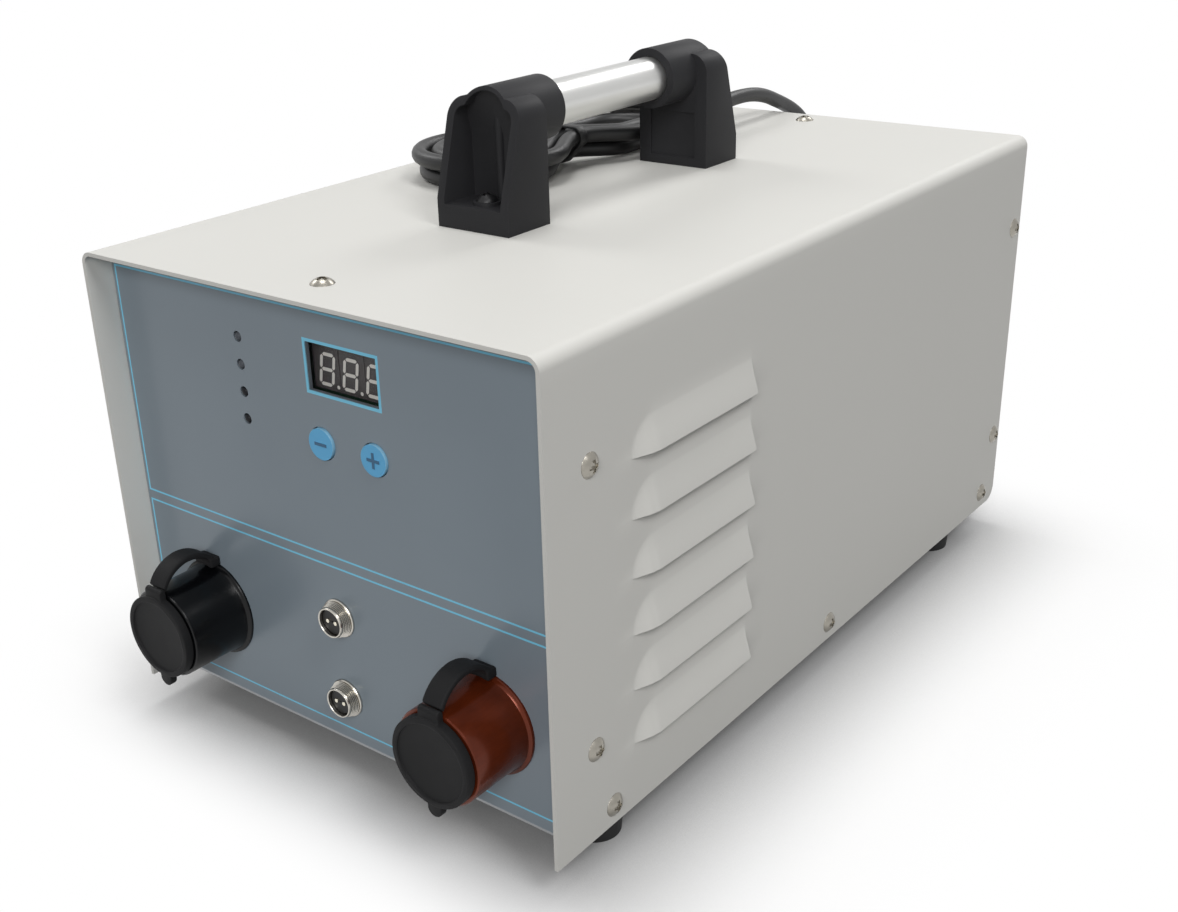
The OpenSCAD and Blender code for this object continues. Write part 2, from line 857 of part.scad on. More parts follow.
// Display block with three sunk digits' faces
module display_module() {
    digit_w = module_w / 3;
    color("dimgray") difference() {
        on_front(display_x, display_z) translate([-module_w / 2, -module_h / 2, face_y - board_y])
            cube([module_w, module_h, module_t]);
        for (step = [-1 : 1]) on_front(display_x, display_z)
            translate([(step - 1 / 2) * digit_w + seam, -module_h / 2 + seam,
                       face_y - board_y + module_t - seam])
                cube([digit_w - 2 * seam, module_h - 2 * seam, over]);
    }
}

// Corners of the display board, as pairs of X and height
board_corners = [for (x = [post_inset - board_left, board_right - post_inset],
                      z = [board_low + post_inset, board_high - post_inset]) [x, z]];

module display_board() {
    color("darkgreen") difference() {
        block([-board_left, board_y, foot_gap + board_low],
              [board_right, board_y + board_t, foot_gap + board_high]);
        for (spot = board_corners)
            rod_y(post_d / 2 + 2 * hole_room, board_y - over, board_y + board_t + over,
                  spot[0], foot_gap + spot[1]);
    }
}

module board_posts() {
    color("gold") {
        for (spot = board_corners) {
            rod_y(post_d, panel_y + sheet, board_y, spot[0], foot_gap + spot[1]);
            rod_y(post_d / 2, board_y - over, board_y + board_t + post_d / 2, spot[0], foot_gap + spot[1]);
        }
        for (spot = control_corners) translate([spot[0], spot[1], floor_z])
            cylinder(d = post_d, h = control_post);
    }
}

module indicator_lamps() {
    color("gray") at_lamps() {
        translate([0, 0, lamp_proud - lamp_d / 2]) sphere(d = lamp_d);
        translate([0, 0, face_y - board_y])
            cylinder(d = lamp_d, h = board_y - face_y + lamp_proud - lamp_d / 2);
    }
}

// Button: a disc through the panel with a flange behind it and a raised sign
module push_button(has_upright) {
    back = -film_t - sheet - run_gap;
    sign_l = button_d / 2;
    sign_w = button_d / 10;
    translate([0, 0, back]) cylinder(d = button_d, h = button_proud - back);
    translate([0, 0, back - button_flange_t]) cylinder(d = button_d + 2 * button_flange, h = button_flange_t);
    sign = has_upright ? [0, 90] : [0];
    for (turn = sign) rotate(turn) translate([-sign_l / 2, -sign_w / 2, button_proud - seam])
        cube([sign_l, sign_w, 2 * seam]);
}

module minus_button() {
    color("deepskyblue") at_buttons([-1]) push_button(false);
}

module plus_button() {
    color("deepskyblue") at_buttons([1]) push_button(true);
}

module button_switches() {
    stem = board_y - panel_y - sheet - run_gap - button_flange_t - key_gap;
    color("black") at_buttons([-1, 1]) translate([0, 0, face_y - board_y]) {
        translate([-key_w / 2, -key_w / 2, 0]) cube([key_w, key_w, key_h]);
        cylinder(d = key_stem_d, h = stem);
    }
}

// Insulating socket body, drawn about its own axis
module socket_body() {
    difference() {
        union() {
            translate([0, 0, -spigot_len - film_t - sheet])
                cylinder(d = spigot_d, h = spigot_len + film_t + sheet + over);
            cylinder(d = socket_flange_d, h = socket_flange_t);
            cylinder(d = socket_d, h = socket_len);
        }
        translate([0, 0, socket_floor]) cylinder(d = socket_d - 2 * socket_wall, h = socket_len);
        translate([0, 0, -spigot_len - film_t - sheet - over])
            cylinder(d = contact_d + hole_room, h = spigot_len + film_t + sheet + socket_len);
    }
}

// Contact with a plug bore in front and a threaded stud behind
module socket_contact() {
    front = socket_len - contact_recess;
    difference() {
        union() {
            translate([0, 0, -contact_tail]) cylinder(d = contact_d, h = front + contact_tail);
            translate([0, 0, -contact_tail - contact_stud_len])
                cylinder(d = contact_stud_d, h = contact_stud_len + over);
        }
        translate([0, 0, front - contact_bore_len]) cylinder(d = contact_bore_d, h = contact_bore_len + over);
    }
}

// Rubber cap with a plug ring behind, a raised rim, a pull tab and a hinge bead
module socket_cap() {
    back = socket_len + run_gap;
    plug_d = socket_d - 2 * socket_wall - 2 * cap_plug_room;
    tab_y = -cap_d / 2 - cap_tab_reach + cap_tab_d / 2;
    difference() {
        union() {
            translate([0, 0, back]) cylinder(d = cap_d, h = cap_t);
            translate([0, 0, back + cap_t]) cylinder(d = cap_d, h = cap_rim_t);
            translate([0, 0, back - cap_plug_len]) cylinder(d = plug_d, h = cap_plug_len);
            translate([0, tab_y, back]) cylinder(d = cap_tab_d, h = cap_t);
            translate([-cap_tab_d / 2, tab_y, back]) cube([cap_tab_d, -tab_y, cap_t]);
            translate([-strap_w / 2, 0, bead_out - bead_d / 2]) cube([strap_w, bead_z, bead_d]);
            rod_x(bead_d, -strap_w / 2, strap_w / 2, bead_z, bead_out);
        }
        translate([0, 0, back + cap_t]) cylinder(d = cap_d - 2 * cap_rim_w, h = cap_rim_t + cap_t);
        translate([0, 0, back - cap_plug_len - over])
            cylinder(d = plug_d - 2 * cap_plug_wall, h = cap_plug_len + over);
    }
}

// Strap that arcs from the anchor on the panel over the barrel to the cap's bead
module cap_strap() {
    middle = bead_out + strap_t / 2 - strap_r;
    difference() {
        union() {
            intersection() {
                rotate([90, 0, 90]) translate([0, 0, -strap_w / 2]) linear_extrude(strap_w)
                    translate([strap_lean, middle]) difference() {
                        circle(strap_r);
                        circle(strap_r - strap_t);
                    }
                translate([-strap_w, bead_z, socket_flange_t / 2])
                    cube([2 * strap_w, 2 * strap_r, 2 * strap_r + socket_len]);
            }
            translate([-anchor_w / 2, socket_flange_d / 2 - strap_t / 2, 0])
                cube([anchor_w, anchor_h, anchor_l]);
        }
        rod_x(bead_d + 2 * run_gap, -strap_w, strap_w, bead_z, bead_out);
        cylinder(d = socket_flange_d + 2 * seam, h = anchor_l + over);
    }
}

module at_black_socket() {
    on_front(-socket_span / 2, socket_z) children();
}

module at_red_socket() {
    on_front(socket_span / 2, socket_z) children();
}

module black_socket() {
    color("black") at_black_socket() socket_body();
}

module red_socket() {
    color("saddlebrown") at_red_socket() socket_body();
}

module black_contact() {
    color("gold") at_black_socket() socket_contact();
}

module red_contact() {
    color("gold") at_red_socket() socket_contact();
}

module socket_nuts() {
    color("gray") for (side = [-1, 1]) on_front(side * socket_span / 2, socket_z)
        translate([0, 0, -film_t - sheet - socket_nut_t]) difference() {
            cylinder(d = socket_nut_d, h = socket_nut_t, $fn = 6);
            translate([0, 0, -over]) cylinder(d = spigot_d + hole_room, h = socket_nut_t + 2 * over);
        }
}

module black_cap() {
    color("dimgray") at_black_socket() socket_cap();
}

module red_cap() {
    color("dimgray") at_red_socket() socket_cap();
}

module black_strap() {
    color("dimgray") at_black_socket() cap_strap();
}

module red_strap() {
    color("dimgray") at_red_socket() cap_strap();
}

// Connector shell: flange on the panel, threaded nose in front, threaded tail behind
module connector_shell() {
    inner_d = connector_d - 2 * connector_wall;
    difference() {
        union() {
            cylinder(d = connector_flange_d, h = connector_flange_t);
            translate([0, 0, -connector_tail]) cylinder(d = connector_d, h = connector_tail + connector_len);
        }
        translate([0, 0, -connector_tail - over])
            cylinder(d = inner_d, h = connector_tail + connector_len + 2 * over);
    }
}

module upper_connector() {
    color("silver") on_front(0, upper_connector_z) connector_shell();
}

module lower_connector() {
    color("silver") on_front(0, lower_connector_z) connector_shell();
}

module connector_inserts() {
    color("black") for (z = [upper_connector_z, lower_connector_z]) on_front(0, z)
        translate([0, 0, connector_len - insert_sink - insert_t]) difference() {
            cylinder(d = connector_d - 2 * connector_wall - hole_room, h = insert_t);
            for (side = [-1, 1]) translate([side * contact_pin_gap / 2, 0, -over])
                cylinder(d = contact_pin_d + hole_room, h = insert_t + 2 * over);
        }
}

module connector_pins() {
    color("gold") for (z = [upper_connector_z, lower_connector_z], side = [-1, 1]) on_front(0, z)
        translate([side * contact_pin_gap / 2, 0, connector_len - insert_sink / 2 - contact_pin_len])
            cylinder(d = contact_pin_d, h = contact_pin_len);
}

// Six-sided nut with its seat at zero, running backwards
module hex_nut(d, hole_d, t) {
    translate([0, 0, -t]) difference() {
        cylinder(d = d, h = t, $fn = 6);
        translate([0, 0, -over]) cylinder(d = hole_d + hole_room, h = t + 2 * over);
    }
}

module panel_nuts() {
    color("silver") {
        for (z = [upper_connector_z, lower_connector_z]) on_front(0, z)
            translate([0, 0, -film_t - sheet]) hex_nut(connector_d + nut_room, connector_d, nut_t);
        on_rear(gland_x, gland_z) translate([0, 0, -sheet])
            hex_nut(gland_tail_d + nut_room, gland_tail_d, nut_t);
    }
}

// Runs children at the fan's four screws, on the rear panel
module at_fan_screws() {
    for (sx = [-1, 1], sy = [-1, 1]) on_rear(fan_x, fan_z)
        translate([sx * fan_screw_span / 2, sy * fan_screw_span / 2, 0]) children();
}

module on_fan() {
    on_rear(fan_x, fan_z) children();
}

module fan_frame() {
    back = -sheet - fan_t;
    color("black") difference() {
        union() {
            on_fan() difference() {
                round_plate(fan_w, fan_w, screw_d, back, -sheet);
                translate([0, 0, back - over]) cylinder(d = fan_hole_d, h = fan_t + 2 * over);
            }
            on_fan() translate([0, 0, back]) {
                cylinder(d = fan_hub_d - fan_motor_t, h = fan_motor_t);
                for (turn = [45 : 90 : 315]) rotate(turn) translate([0, -fan_strut_w / 2, 0])
                    cube([fan_hole_d / 2 + seam, fan_strut_w, fan_motor_t]);
                cylinder(d = fan_pin_d, h = fan_t - fan_motor_t);
            }
        }
        at_fan_screws() translate([0, 0, -sheet - fan_t - over])
            cylinder(d = screw_d + 2 * hole_room, h = fan_t + 2 * over);
    }
}

// Rotor that turns on the frame's pin
module fan_rotor() {
    low = -sheet - fan_t + fan_motor_t + run_gap;
    sweep_r = fan_hole_d / 2 - 2 * run_gap;
    color("dimgray") on_fan() difference() {
        union() {
            translate([0, 0, low]) cylinder(d = fan_hub_d, h = fan_hub_len);
            intersection() {
                for (turn = [0 : fan_blades - 1]) rotate(turn * 360 / fan_blades)
                    translate([0, 0, low + fan_hub_len / 2]) rotate([blade_pitch, 0, 0])
                        translate([fan_hub_d / 4, -blade_len / 2, -blade_t / 2])
                            cube([fan_hole_d / 2, blade_len, blade_t]);
                translate([0, 0, low]) cylinder(r = sweep_r, h = fan_hub_len);
            }
        }
        translate([0, 0, low - over]) cylinder(d = fan_pin_d + 2 * pin_room, h = fan_t);
    }
}

// Wire guard over the fan's opening
module fan_guard() {
    color("silver") {
        on_fan() {
            for (step = [1 : guard_rings]) translate([0, 0, guard_standoff + guard_wire_d / 2])
                rotate_extrude() translate([step * fan_hole_d / 2 / guard_rings, 0]) circle(d = guard_wire_d);
            for (turn = [0, 90]) rotate(turn + 45)
                rod_x(guard_wire_d, -guard_half, guard_half, 0, guard_standoff);
        }
        at_fan_screws() difference() {
            cylinder(d = guard_eye_d, h = guard_standoff + guard_wire_d / 2);
            translate([0, 0, -over])
                cylinder(d = screw_d + 2 * hole_room, h = guard_standoff + guard_wire_d + over);
        }
    }
}

module fan_screws() {
    color("silver") at_fan_screws() translate([0, 0, guard_standoff + guard_wire_d / 2])
        pan_screw(screw_head_d - 2 * hole_room, screw_head_h, screw_d, guard_standoff + sheet + fan_t / 2);
}

// Inside width and height of the rocker's well
well_w = switch_w - 4 * switch_lip;
well_h = switch_h - 4 * switch_lip + 2 * rocker_room;

module switch_body() {
    color("black") on_rear(-switch_x, switch_z) difference() {
        union() {
            round_plate(switch_w, switch_h, switch_lip, 0, switch_plate_t);
            round_plate(switch_w - 2 * switch_lip, switch_h - 2 * switch_lip,
                        switch_lip, -switch_depth, over);
        }
        translate([-well_w / 2, -well_h / 2, -2 * rocker_depth])
            cube([well_w, well_h, 2 * rocker_depth + switch_depth]);
        rod_x(rocker_pivot_d + 2 * pin_room,
              -well_w / 2 - rocker_pivot_len, well_w / 2 + rocker_pivot_len, 0, 0);
    }
}

// Rocker with two faces that meet over its pivot, stored tipped to off
module power_rocker() {
    half = well_h / 2 - 3 * rocker_room;
    rise = rocker_rise + half * tan(rocker_tilt / 2);
    pivot_half = well_w / 2 + rocker_pivot_len - rocker_room;
    color("black") on_rear(-switch_x, switch_z) rotate([-rocker_tilt / 2, 0, 0]) {
        difference() {
            translate([rocker_room - well_w / 2, 0, 0]) rotate([90, 0, 90])
            linear_extrude(well_w - 2 * rocker_room)
                polygon([[-half, -rocker_depth / 2], [0, -rocker_depth], [half, -rocker_depth / 2],
                         [half, rise], [0, rocker_rise], [-half, rise]]);
            for (side = [-1, 1]) translate([0, side * half * 3 / 2, rise])
                rotate([0, 90, 0]) cylinder(d = half * 4 / 3, h = well_w, center = true);
        }
        rod_x(rocker_pivot_d, -pivot_half, pivot_half);
    }
}

module fuse_body() {
    color("black") on_rear(-switch_x, fuse_z) difference() {
        union() {
            cylinder(d = fuse_flange_d, h = fuse_flange_t);
            translate([0, 0, -fuse_tail_len]) cylinder(d = fuse_tail_d, h = fuse_tail_len + over);
        }
        translate([0, 0, fuse_flange_t - fuse_stem_len - over])
            cylinder(d = fuse_stem_d + 2 * pin_room, h = fuse_stem_len + 2 * over);
    }
}

// Fuse cap with a screwdriver slot, on a stem that turns in the holder
module fuse_cap() {
    slot_w = fuse_cap_d / 8;
    low = fuse_flange_t + run_gap;
    color("black") on_rear(-switch_x, fuse_z) difference() {
        union() {
            translate([0, 0, low]) cylinder(d = fuse_cap_d, h = fuse_cap_len);
            translate([0, 0, fuse_flange_t - fuse_stem_len])
                cylinder(d = fuse_stem_d, h = fuse_stem_len + over);
        }
        translate([-fuse_cap_d, -slot_w / 2, low + fuse_cap_len - slot_w])
            cube([2 * fuse_cap_d, slot_w, 2 * slot_w]);
        for (turn = [0 : 30 : 330]) rotate(turn) translate([fuse_cap_d / 2, 0, low + slot_w])
            cylinder(d = slot_w, h = fuse_cap_len);
    }
}

// Gland with a six-sided seat and a tapering strain relief
module cable_gland() {
    color("black") on_rear(gland_x, gland_z) {
        cylinder(d = gland_hex_d, h = gland_hex_t, $fn = 6);
        translate([0, 0, gland_hex_t]) cylinder(d = gland_dome_d, h = gland_dome_l);
        translate([0, 0, gland_hex_t + gland_dome_l])
            cylinder(d1 = gland_dome_d - 2 * sheet, d2 = gland_tip_d,
                     h = gland_len - gland_hex_t - gland_dome_l);
        translate([0, 0, -gland_tail_len]) cylinder(d = gland_tail_d, h = gland_tail_len);
    }
}

module earth_stud() {
    color("gold") on_rear(-earth_x, earth_z) {
        translate([0, 0, -earth_tail - sheet]) cylinder(d = earth_d, h = earth_tail + sheet + earth_len);
        cylinder(d = earth_nut_d, h = earth_nut_t, $fn = 6);
        translate([0, 0, -sheet - earth_nut_t]) cylinder(d = earth_nut_d, h = earth_nut_t, $fn = 6);
    }
}

// Size and places of the capacitors on the base tray
can_d = cap_can_d * snug;
can_h = cap_can_h * tall;
can_pitch = can_d + 2 * clamp_t + can_gap * snug;
can_spots = [for (column = [0 : can_columns - 1], row = [0 : can_rows - 1])
    [can_wall_gap + can_pitch / 2 - inside_half + column * can_pitch,
     panel_y + can_front_gap * deep + (row + 1 / 2) * can_pitch]];

module at_cans() {
    for (spot = can_spots) translate([spot[0], spot[1], floor_z]) children();
}

module capacitors() {
    color("midnightblue") at_cans() {
        cylinder(d = can_d, h = can_h);
        for (side = [-1, 1]) translate([side * terminal_span * snug / 2, 0, can_h - over])
            cylinder(d = terminal_d, h = terminal_h + over);
    }
}

module capacitor_clamps() {
    clamp_d = can_d + 2 * hole_room;
    color("silver") at_cans() difference() {
        union() {
            cylinder(d = clamp_d + 2 * clamp_t, h = clamp_h);
            translate([-clamp_d / 2, -clamp_d / 2 - clamp_t, 0])
                cube([clamp_tab, clamp_d + 2 * clamp_t, clamp_t]);
        }
        translate([0, 0, -over]) cylinder(d = clamp_d, h = clamp_h + 2 * over);
    }
}

// Bars that join the capacitors' terminals row by row
module capacitor_bars() {
    bar_l = (can_rows - 1) * can_pitch + bar_w;
    bar_z = floor_z + can_h + terminal_h;
    color("peru") for (column = [0 : can_columns - 1], side = [-1, 1]) {
        x = can_spots[column * can_rows][0] + side * terminal_span * snug / 2;
        y = can_spots[0][1] - bar_w / 2;
        block([x - bar_w / 2, y, bar_z], [x + bar_w / 2, y + bar_l, bar_z + bar_t]);
    }
}

// Size and place of the transformer on the base tray
core_wide = core_w * wide;
core_deep = core_l * deep;
core_tall = core_h * tall;
core_x = inside_half - core_side_gap - coil_out - core_wide / 2;
core_y = panel_y + core_front_gap * deep;

module transformer_core() {
    coil_h = core_tall * coil_h_share;
    color("dimgray") difference() {
        block([core_x - core_wide / 2, core_y, floor_z],
              [core_x + core_wide / 2, core_y + core_deep, floor_z + core_tall]);
        for (end = [1 / 4, 3 / 4]) translate([core_x, core_y + end * core_deep, floor_z + core_tall / 2])
            cube([core_wide + 2 * over, core_deep / 6, coil_h], center = true);
    }
}

// Winding round the core's middle limb, shown as its closed outer form
module transformer_coil() {
    limb = core_deep / 2 - core_deep / 6;
    outer_l = core_deep / 2 + core_deep / 6 - 2 * seam;
    coil_h = core_tall * coil_h_share - 2 * seam;
    color("firebrick") translate([core_x, core_y + core_deep / 2, floor_z + core_tall / 2]) difference() {
        round_plate(core_wide + 2 * coil_out, outer_l, coil_r, -coil_h / 2, coil_h / 2);
        translate([-core_wide / 2 - seam, -limb / 2 - seam, -coil_h])
            cube([core_wide + 2 * seam, limb + 2 * seam, 2 * coil_h]);
    }
}

// Heat sink in front of the fan, standing on the base tray
sink_x = fan_x * wide;
sink_wide = sink_w * wide;
sink_deep = sink_l * deep;
sink_tall = sink_h * tall;
sink_y1 = back_y - sheet - fan_t - sink_gap;

module heat_sink() {
    fin_pitch = (sink_wide - fin_t) / (fin_count - 1);
    color("silver") {
        block([sink_x - sink_wide / 2, sink_y1 - sink_deep, floor_z],
              [sink_x + sink_wide / 2, sink_y1, floor_z + sink_base]);
        for (step = [0 : fin_count - 1]) {
            x = sink_x - sink_wide / 2 + step * fin_pitch;
            block([x, sink_y1 - sink_deep, floor_z], [x + fin_t, sink_y1, floor_z + sink_tall]);
        }
    }
}

module thyristor_module() {
    low = floor_z + sink_tall;
    half_w = thyristor_w * wide / 2;
    half_l = thyristor_l * deep / 2;
    middle = sink_y1 - sink_deep / 2;
    color("black") block([sink_x - half_w, middle - half_l, low],
                         [sink_x + half_w, middle + half_l, low + thyristor_h]);
}

// Sizes of the rectifier and the resistor behind the transformer
bridge_side = bridge_w * snug;
resistor_wide = resistor_l * wide;
resistor_deep = resistor_w * deep;

module rectifier_bridge() {
    y0 = core_y + core_deep + 2 * resistor_gap + resistor_deep;
    color("black") difference() {
        block([core_x - bridge_side / 2, y0, floor_z],
              [core_x + bridge_side / 2, y0 + bridge_side, floor_z + bridge_h]);
        translate([core_x, y0 + bridge_side / 2, floor_z - over])
            cylinder(d = screw_d + 2 * hole_room, h = bridge_h + 2 * over);
    }
}

module discharge_resistor() {
    y0 = core_y + core_deep + resistor_gap;
    color("goldenrod") {
        block([core_x - resistor_wide / 2, y0, floor_z],
              [core_x + resistor_wide / 2, y0 + resistor_deep, floor_z + resistor_h / 4]);
        block([core_x - resistor_wide / 3, y0 + resistor_deep / 6, floor_z],
              [core_x + resistor_wide / 3, y0 + resistor_deep * 5 / 6, floor_z + resistor_h]);
    }
}

// Size and place of the control board on the base tray, behind the capacitors
control_wide = control_w * wide;
control_deep = control_l * deep;
control_x0 = control_gap * wide - inside_half;
control_y0 = back_y - sheet - control_gap * deep - control_deep;
control_corners = [for (x = [control_x0 + post_inset, control_x0 + control_wide - post_inset],
                        y = [control_y0 + post_inset, control_y0 + control_deep - post_inset]) [x, y]];

module control_board() {
    low = floor_z + control_post;
    color("darkgreen") {
        block([control_x0, control_y0, low],
              [control_x0 + control_wide, control_y0 + control_deep, low + board_t]);
        for (step = [1 : 3]) {
            x = control_x0 + step * control_wide / 4;
            block([x, control_y0 + control_deep / 3, low],
                  [x + key_w, control_y0 + control_deep / 2, low + board_t + key_h]);
        }
    }
}

// Share of the draw towards the tie at a place along the hank, 1 at the tie and 0 past its reach
function draw_share(y) =
    abs(y - hank_tie_y) < hank_draw_half ? (1 + cos(180 * (y - hank_tie_y) / hank_draw_half)) / 2 : 0;

// Radius of the spiral and layer reached after a number of loops
function hank_radius(loop) = lookup(loop, [for (i = [0 : len(hank_reverse_shares) - 1])
    [hank_reverse_shares[i], hank_radii[i]]]);
function hank_level(loop) = lookup(loop, [for (i = [1 : len(hank_reverse_shares) - 2], end = [-1, 1])
    [hank_reverse_shares[i] + end * hank_climb_share, i - 1 + (end + 1) / 2]]);

// Middle of the tube after a number of loops: left run, front bend, right run, rear bend
function hank_flat(loop, r, part) =
    part < 1 / 4 ? [-1, hank_rear_y - 4 * part * hank_run, r]
    : part < 1 / 2 ? [cos(180 + 4 * (part - 1 / 4) * 180),
                      hank_front_y + r * sin(180 + 4 * (part - 1 / 4) * 180), r]
    : part < 3 / 4 ? [1, hank_front_y + 4 * (part - 1 / 2) * hank_run, r]
    : [cos(4 * (part - 3 / 4) * 180), hank_rear_y + r * sin(4 * (part - 3 / 4) * 180), r];
function hank_point(loop) =
    let (flat = hank_flat(loop, hank_radius(loop), loop - floor(loop)), pull = draw_share(flat[1]))
    [hank_x + flat[0] * (flat[2] - pull * hank_draw), flat[1],
     top_z + hank_rest + cord_d / 2 + hank_level(loop) * hank_layer + pull * hank_tie_lift];

// Height of the plug's axis and the lead that rises to it behind the hank's first run
plug_rise = (plug_t - cord_d) / 2;
function lead_rise(share) = plug_rise * (1 - cos(180 * min(share, 1))) / 2;
plug_lead_path = [for (i = [6 : -1 : 1])
    let (run = plug_lead - cord_d, y = i == 6 ? plug_lead : i * run / 5)
    hank_point(0) + [0, y, lead_rise(y / run)]];
hank_end_path = [hank_point(hank_loops) + [0, cord_d, 0]];
hank_run_path = [for (i = [0 : hank_loops * hank_rings]) hank_point(i / hank_rings)];
hank_path = concat(plug_lead_path, hank_run_path, hank_end_path);

// Least gap of the hank to itself, measured between points more than a third of a loop apart
gap_steps = 4 * hank_rings;
gap_points = [for (i = [0 : hank_loops * gap_steps]) hank_point(i / gap_steps)];
hank_gap = min([for (i = [0 : 2 : len(gap_points) - 1], j = [i + gap_steps / 3 : 1 : len(gap_points) - 1])
    norm(gap_points[i] - gap_points[j])]) - cord_d;
echo(hank_least_gap = hank_gap);

// Points of a smooth curve through a list of points, with a number of steps between each two
function curve_point(p, i, t) =
    let (a = p[max(i - 1, 0)], b = p[i], c = p[i + 1], d = p[min(i + 2, len(p) - 1)])
    (2 * b + (c - a) * t + (2 * a - 5 * b + 4 * c - d) * t * t + (3 * b - a - 3 * c + d) * t * t * t) / 2;
function smooth_path(p, steps) =
    concat([for (i = [0 : len(p) - 2], k = [0 : steps - 1]) curve_point(p, i, k / steps)], [p[len(p) - 1]]);

function unit(v) = v / norm(v);

// Tube swept along a path; its sides stay level because the sideways direction has no height
module swept_tube(path, d, sides, ends) {
    last = len(path) - 1;
    ring_points = [for (i = [0 : last])
        let (ahead = i == 0 ? ends[0] : i == last ? ends[1] : unit(path[i + 1] - path[i - 1]),
             across = unit(cross(ahead, tube_side)),
             aside = cross(across, ahead))
        for (k = [0 : sides - 1])
            path[i] + d / 2 * (cos(360 * (k + 1 / 2) / sides) * across
                               + sin(360 * (k + 1 / 2) / sides) * aside)];
    walls = [for (i = [0 : last - 1], k = [0 : sides - 1])
        let (a = i * sides + k, b = i * sides + (k + 1) % sides)
        each [[a, b, b + sides], [a, b + sides, a + sides]]];
    caps = [for (k = [1 : sides - 2])
        each [[0, k + 1, k], [last * sides, last * sides + k, last * sides + k + 1]]];
    polyhedron(ring_points, concat(walls, caps));
}
// Direction that a swept tube never runs along
tube_side = unit([3, 1, 5]);

module power_cord() {
    start = hank_path[len(hank_path) - 1];
    finish = [gland_x * wide, back_y + gland_len, foot_gap + gland_z * tall];
    route = concat(
        [start],
        [for (p = lead_over) [p[0], rear_y + p[1] * (p[1] < 0 ? deep : 1), top_z + p[2]]],
        [for (p = lead_down) p + [gland_x * wide, rear_y, foot_gap + gland_z * tall]],
        [finish]
    );
    color("black") swept_tube(smooth_path(route, lead_steps), cord_d, lead_sides, [[0, 1, 0], [0, -1, 0]]);
}

module cord_hank() {
    color("black") swept_tube(hank_path, cord_d, hank_sides, [[0, -1, 0], [0, 1, 0]]);
}

// Band round the hank's waist with a small locking head
module cord_tie() {
    last_run = hank_loops - (1 - hank_draw_half / hank_run) / 4;
    half = hank_radius(last_run) - hank_draw + cord_d / 2 + tie_side_room;
    low = top_z + hank_rest + hank_tie_lift - tie_room;
    high = low + cord_d + (len(hank_reverse_shares) - 2) * hank_layer + 2 * tie_room;
    color("black") translate([hank_x, hank_tie_y - tie_w / 2, 0]) {
        difference() {
            block([-half - tie_t, 0, low - tie_t], [half + tie_t, tie_w, high + tie_t]);
            block([-half, -over, low], [half, tie_w + over, high]);
        }
        block([-tie_head_w / 2, 0, high + tie_t], [tie_head_w / 2, tie_w, high + tie_t + tie_head_t]);
    }
}

// Runs children at the plug's end of the lead, with +Z pointing away from the lead
module at_plug() {
    translate(hank_path[0]) rotate([-90, 0, 0]) children();
}

module plug() {
    color("black") at_plug() {
        cylinder(d1 = boot_tip_d, d2 = boot_d, h = boot_len);
        round_plate(plug_w, plug_t, plug_corner_r, boot_len, boot_len + plug_l);
    }
}

module plug_pins() {
    color("gold") at_plug() translate([0, 0, boot_len + plug_l]) for (side = [-1, 0, 1])
        translate([side * pin_spread, side == 0 ? -pin_rise : pin_rise, 0]) rotate(side * pin_lean)
            translate([-pin_t / 2, -pin_w / 2, 0]) cube([pin_t, pin_w, pin_len]);
}

cover_shell();
base_tray();
front_panel();
front_film();
rear_panel();
rubber_feet();
foot_screws();
cover_screws();
front_handle_bracket();
rear_handle_bracket();
handle_tube();
handle_screws();
display_window();
display_module();
display_board();
board_posts();
indicator_lamps();
minus_button();
plus_button();
button_switches();
black_socket();
red_socket();
black_contact();
red_contact();
socket_nuts();
black_cap();
red_cap();
black_strap();
red_strap();
upper_connector();
lower_connector();
connector_inserts();
connector_pins();
panel_nuts();
fan_frame();
fan_rotor();
fan_guard();
fan_screws();
switch_body();
power_rocker();
fuse_body();
fuse_cap();
cable_gland();
earth_stud();
capacitors();
capacitor_clamps();
capacitor_bars();
heat_sink();
thyristor_module();
rectifier_bridge();
transformer_core();
transformer_coil();
discharge_resistor();
control_board();
power_cord();
cord_hank();
cord_tie();
plug();
plug_pins();
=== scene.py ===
# %% [markdown]
# # A stud welder, dressed in Blender
# The machine is a bent sheet-steel case with a printed front, a carrying handle, two capped weld
# sockets and a mains lead tied up on its lid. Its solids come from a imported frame, in metres, with
# the front towards -Y and +Z up. This lesson keeps those solids where their shape is right and only
# gives them finishes. Pieces that need softer forms, such as the pressed louvres, are made anew.

# %% Load the frame
import math

import bmesh
import bpy
from mathutils import Matrix, Vector


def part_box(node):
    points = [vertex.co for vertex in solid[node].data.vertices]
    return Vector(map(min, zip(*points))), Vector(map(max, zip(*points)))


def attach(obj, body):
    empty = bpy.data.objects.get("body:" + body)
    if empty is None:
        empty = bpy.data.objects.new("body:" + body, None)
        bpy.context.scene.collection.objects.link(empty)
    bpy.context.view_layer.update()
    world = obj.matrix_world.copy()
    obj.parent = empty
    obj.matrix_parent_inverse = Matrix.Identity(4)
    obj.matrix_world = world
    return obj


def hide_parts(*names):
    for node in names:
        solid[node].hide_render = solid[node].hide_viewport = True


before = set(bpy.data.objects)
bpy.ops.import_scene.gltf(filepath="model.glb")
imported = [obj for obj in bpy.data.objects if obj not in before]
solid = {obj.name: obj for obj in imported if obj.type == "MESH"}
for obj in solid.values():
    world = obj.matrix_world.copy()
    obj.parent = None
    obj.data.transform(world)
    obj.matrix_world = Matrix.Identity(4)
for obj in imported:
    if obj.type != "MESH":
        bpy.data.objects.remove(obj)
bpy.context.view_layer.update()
MM = 0.001

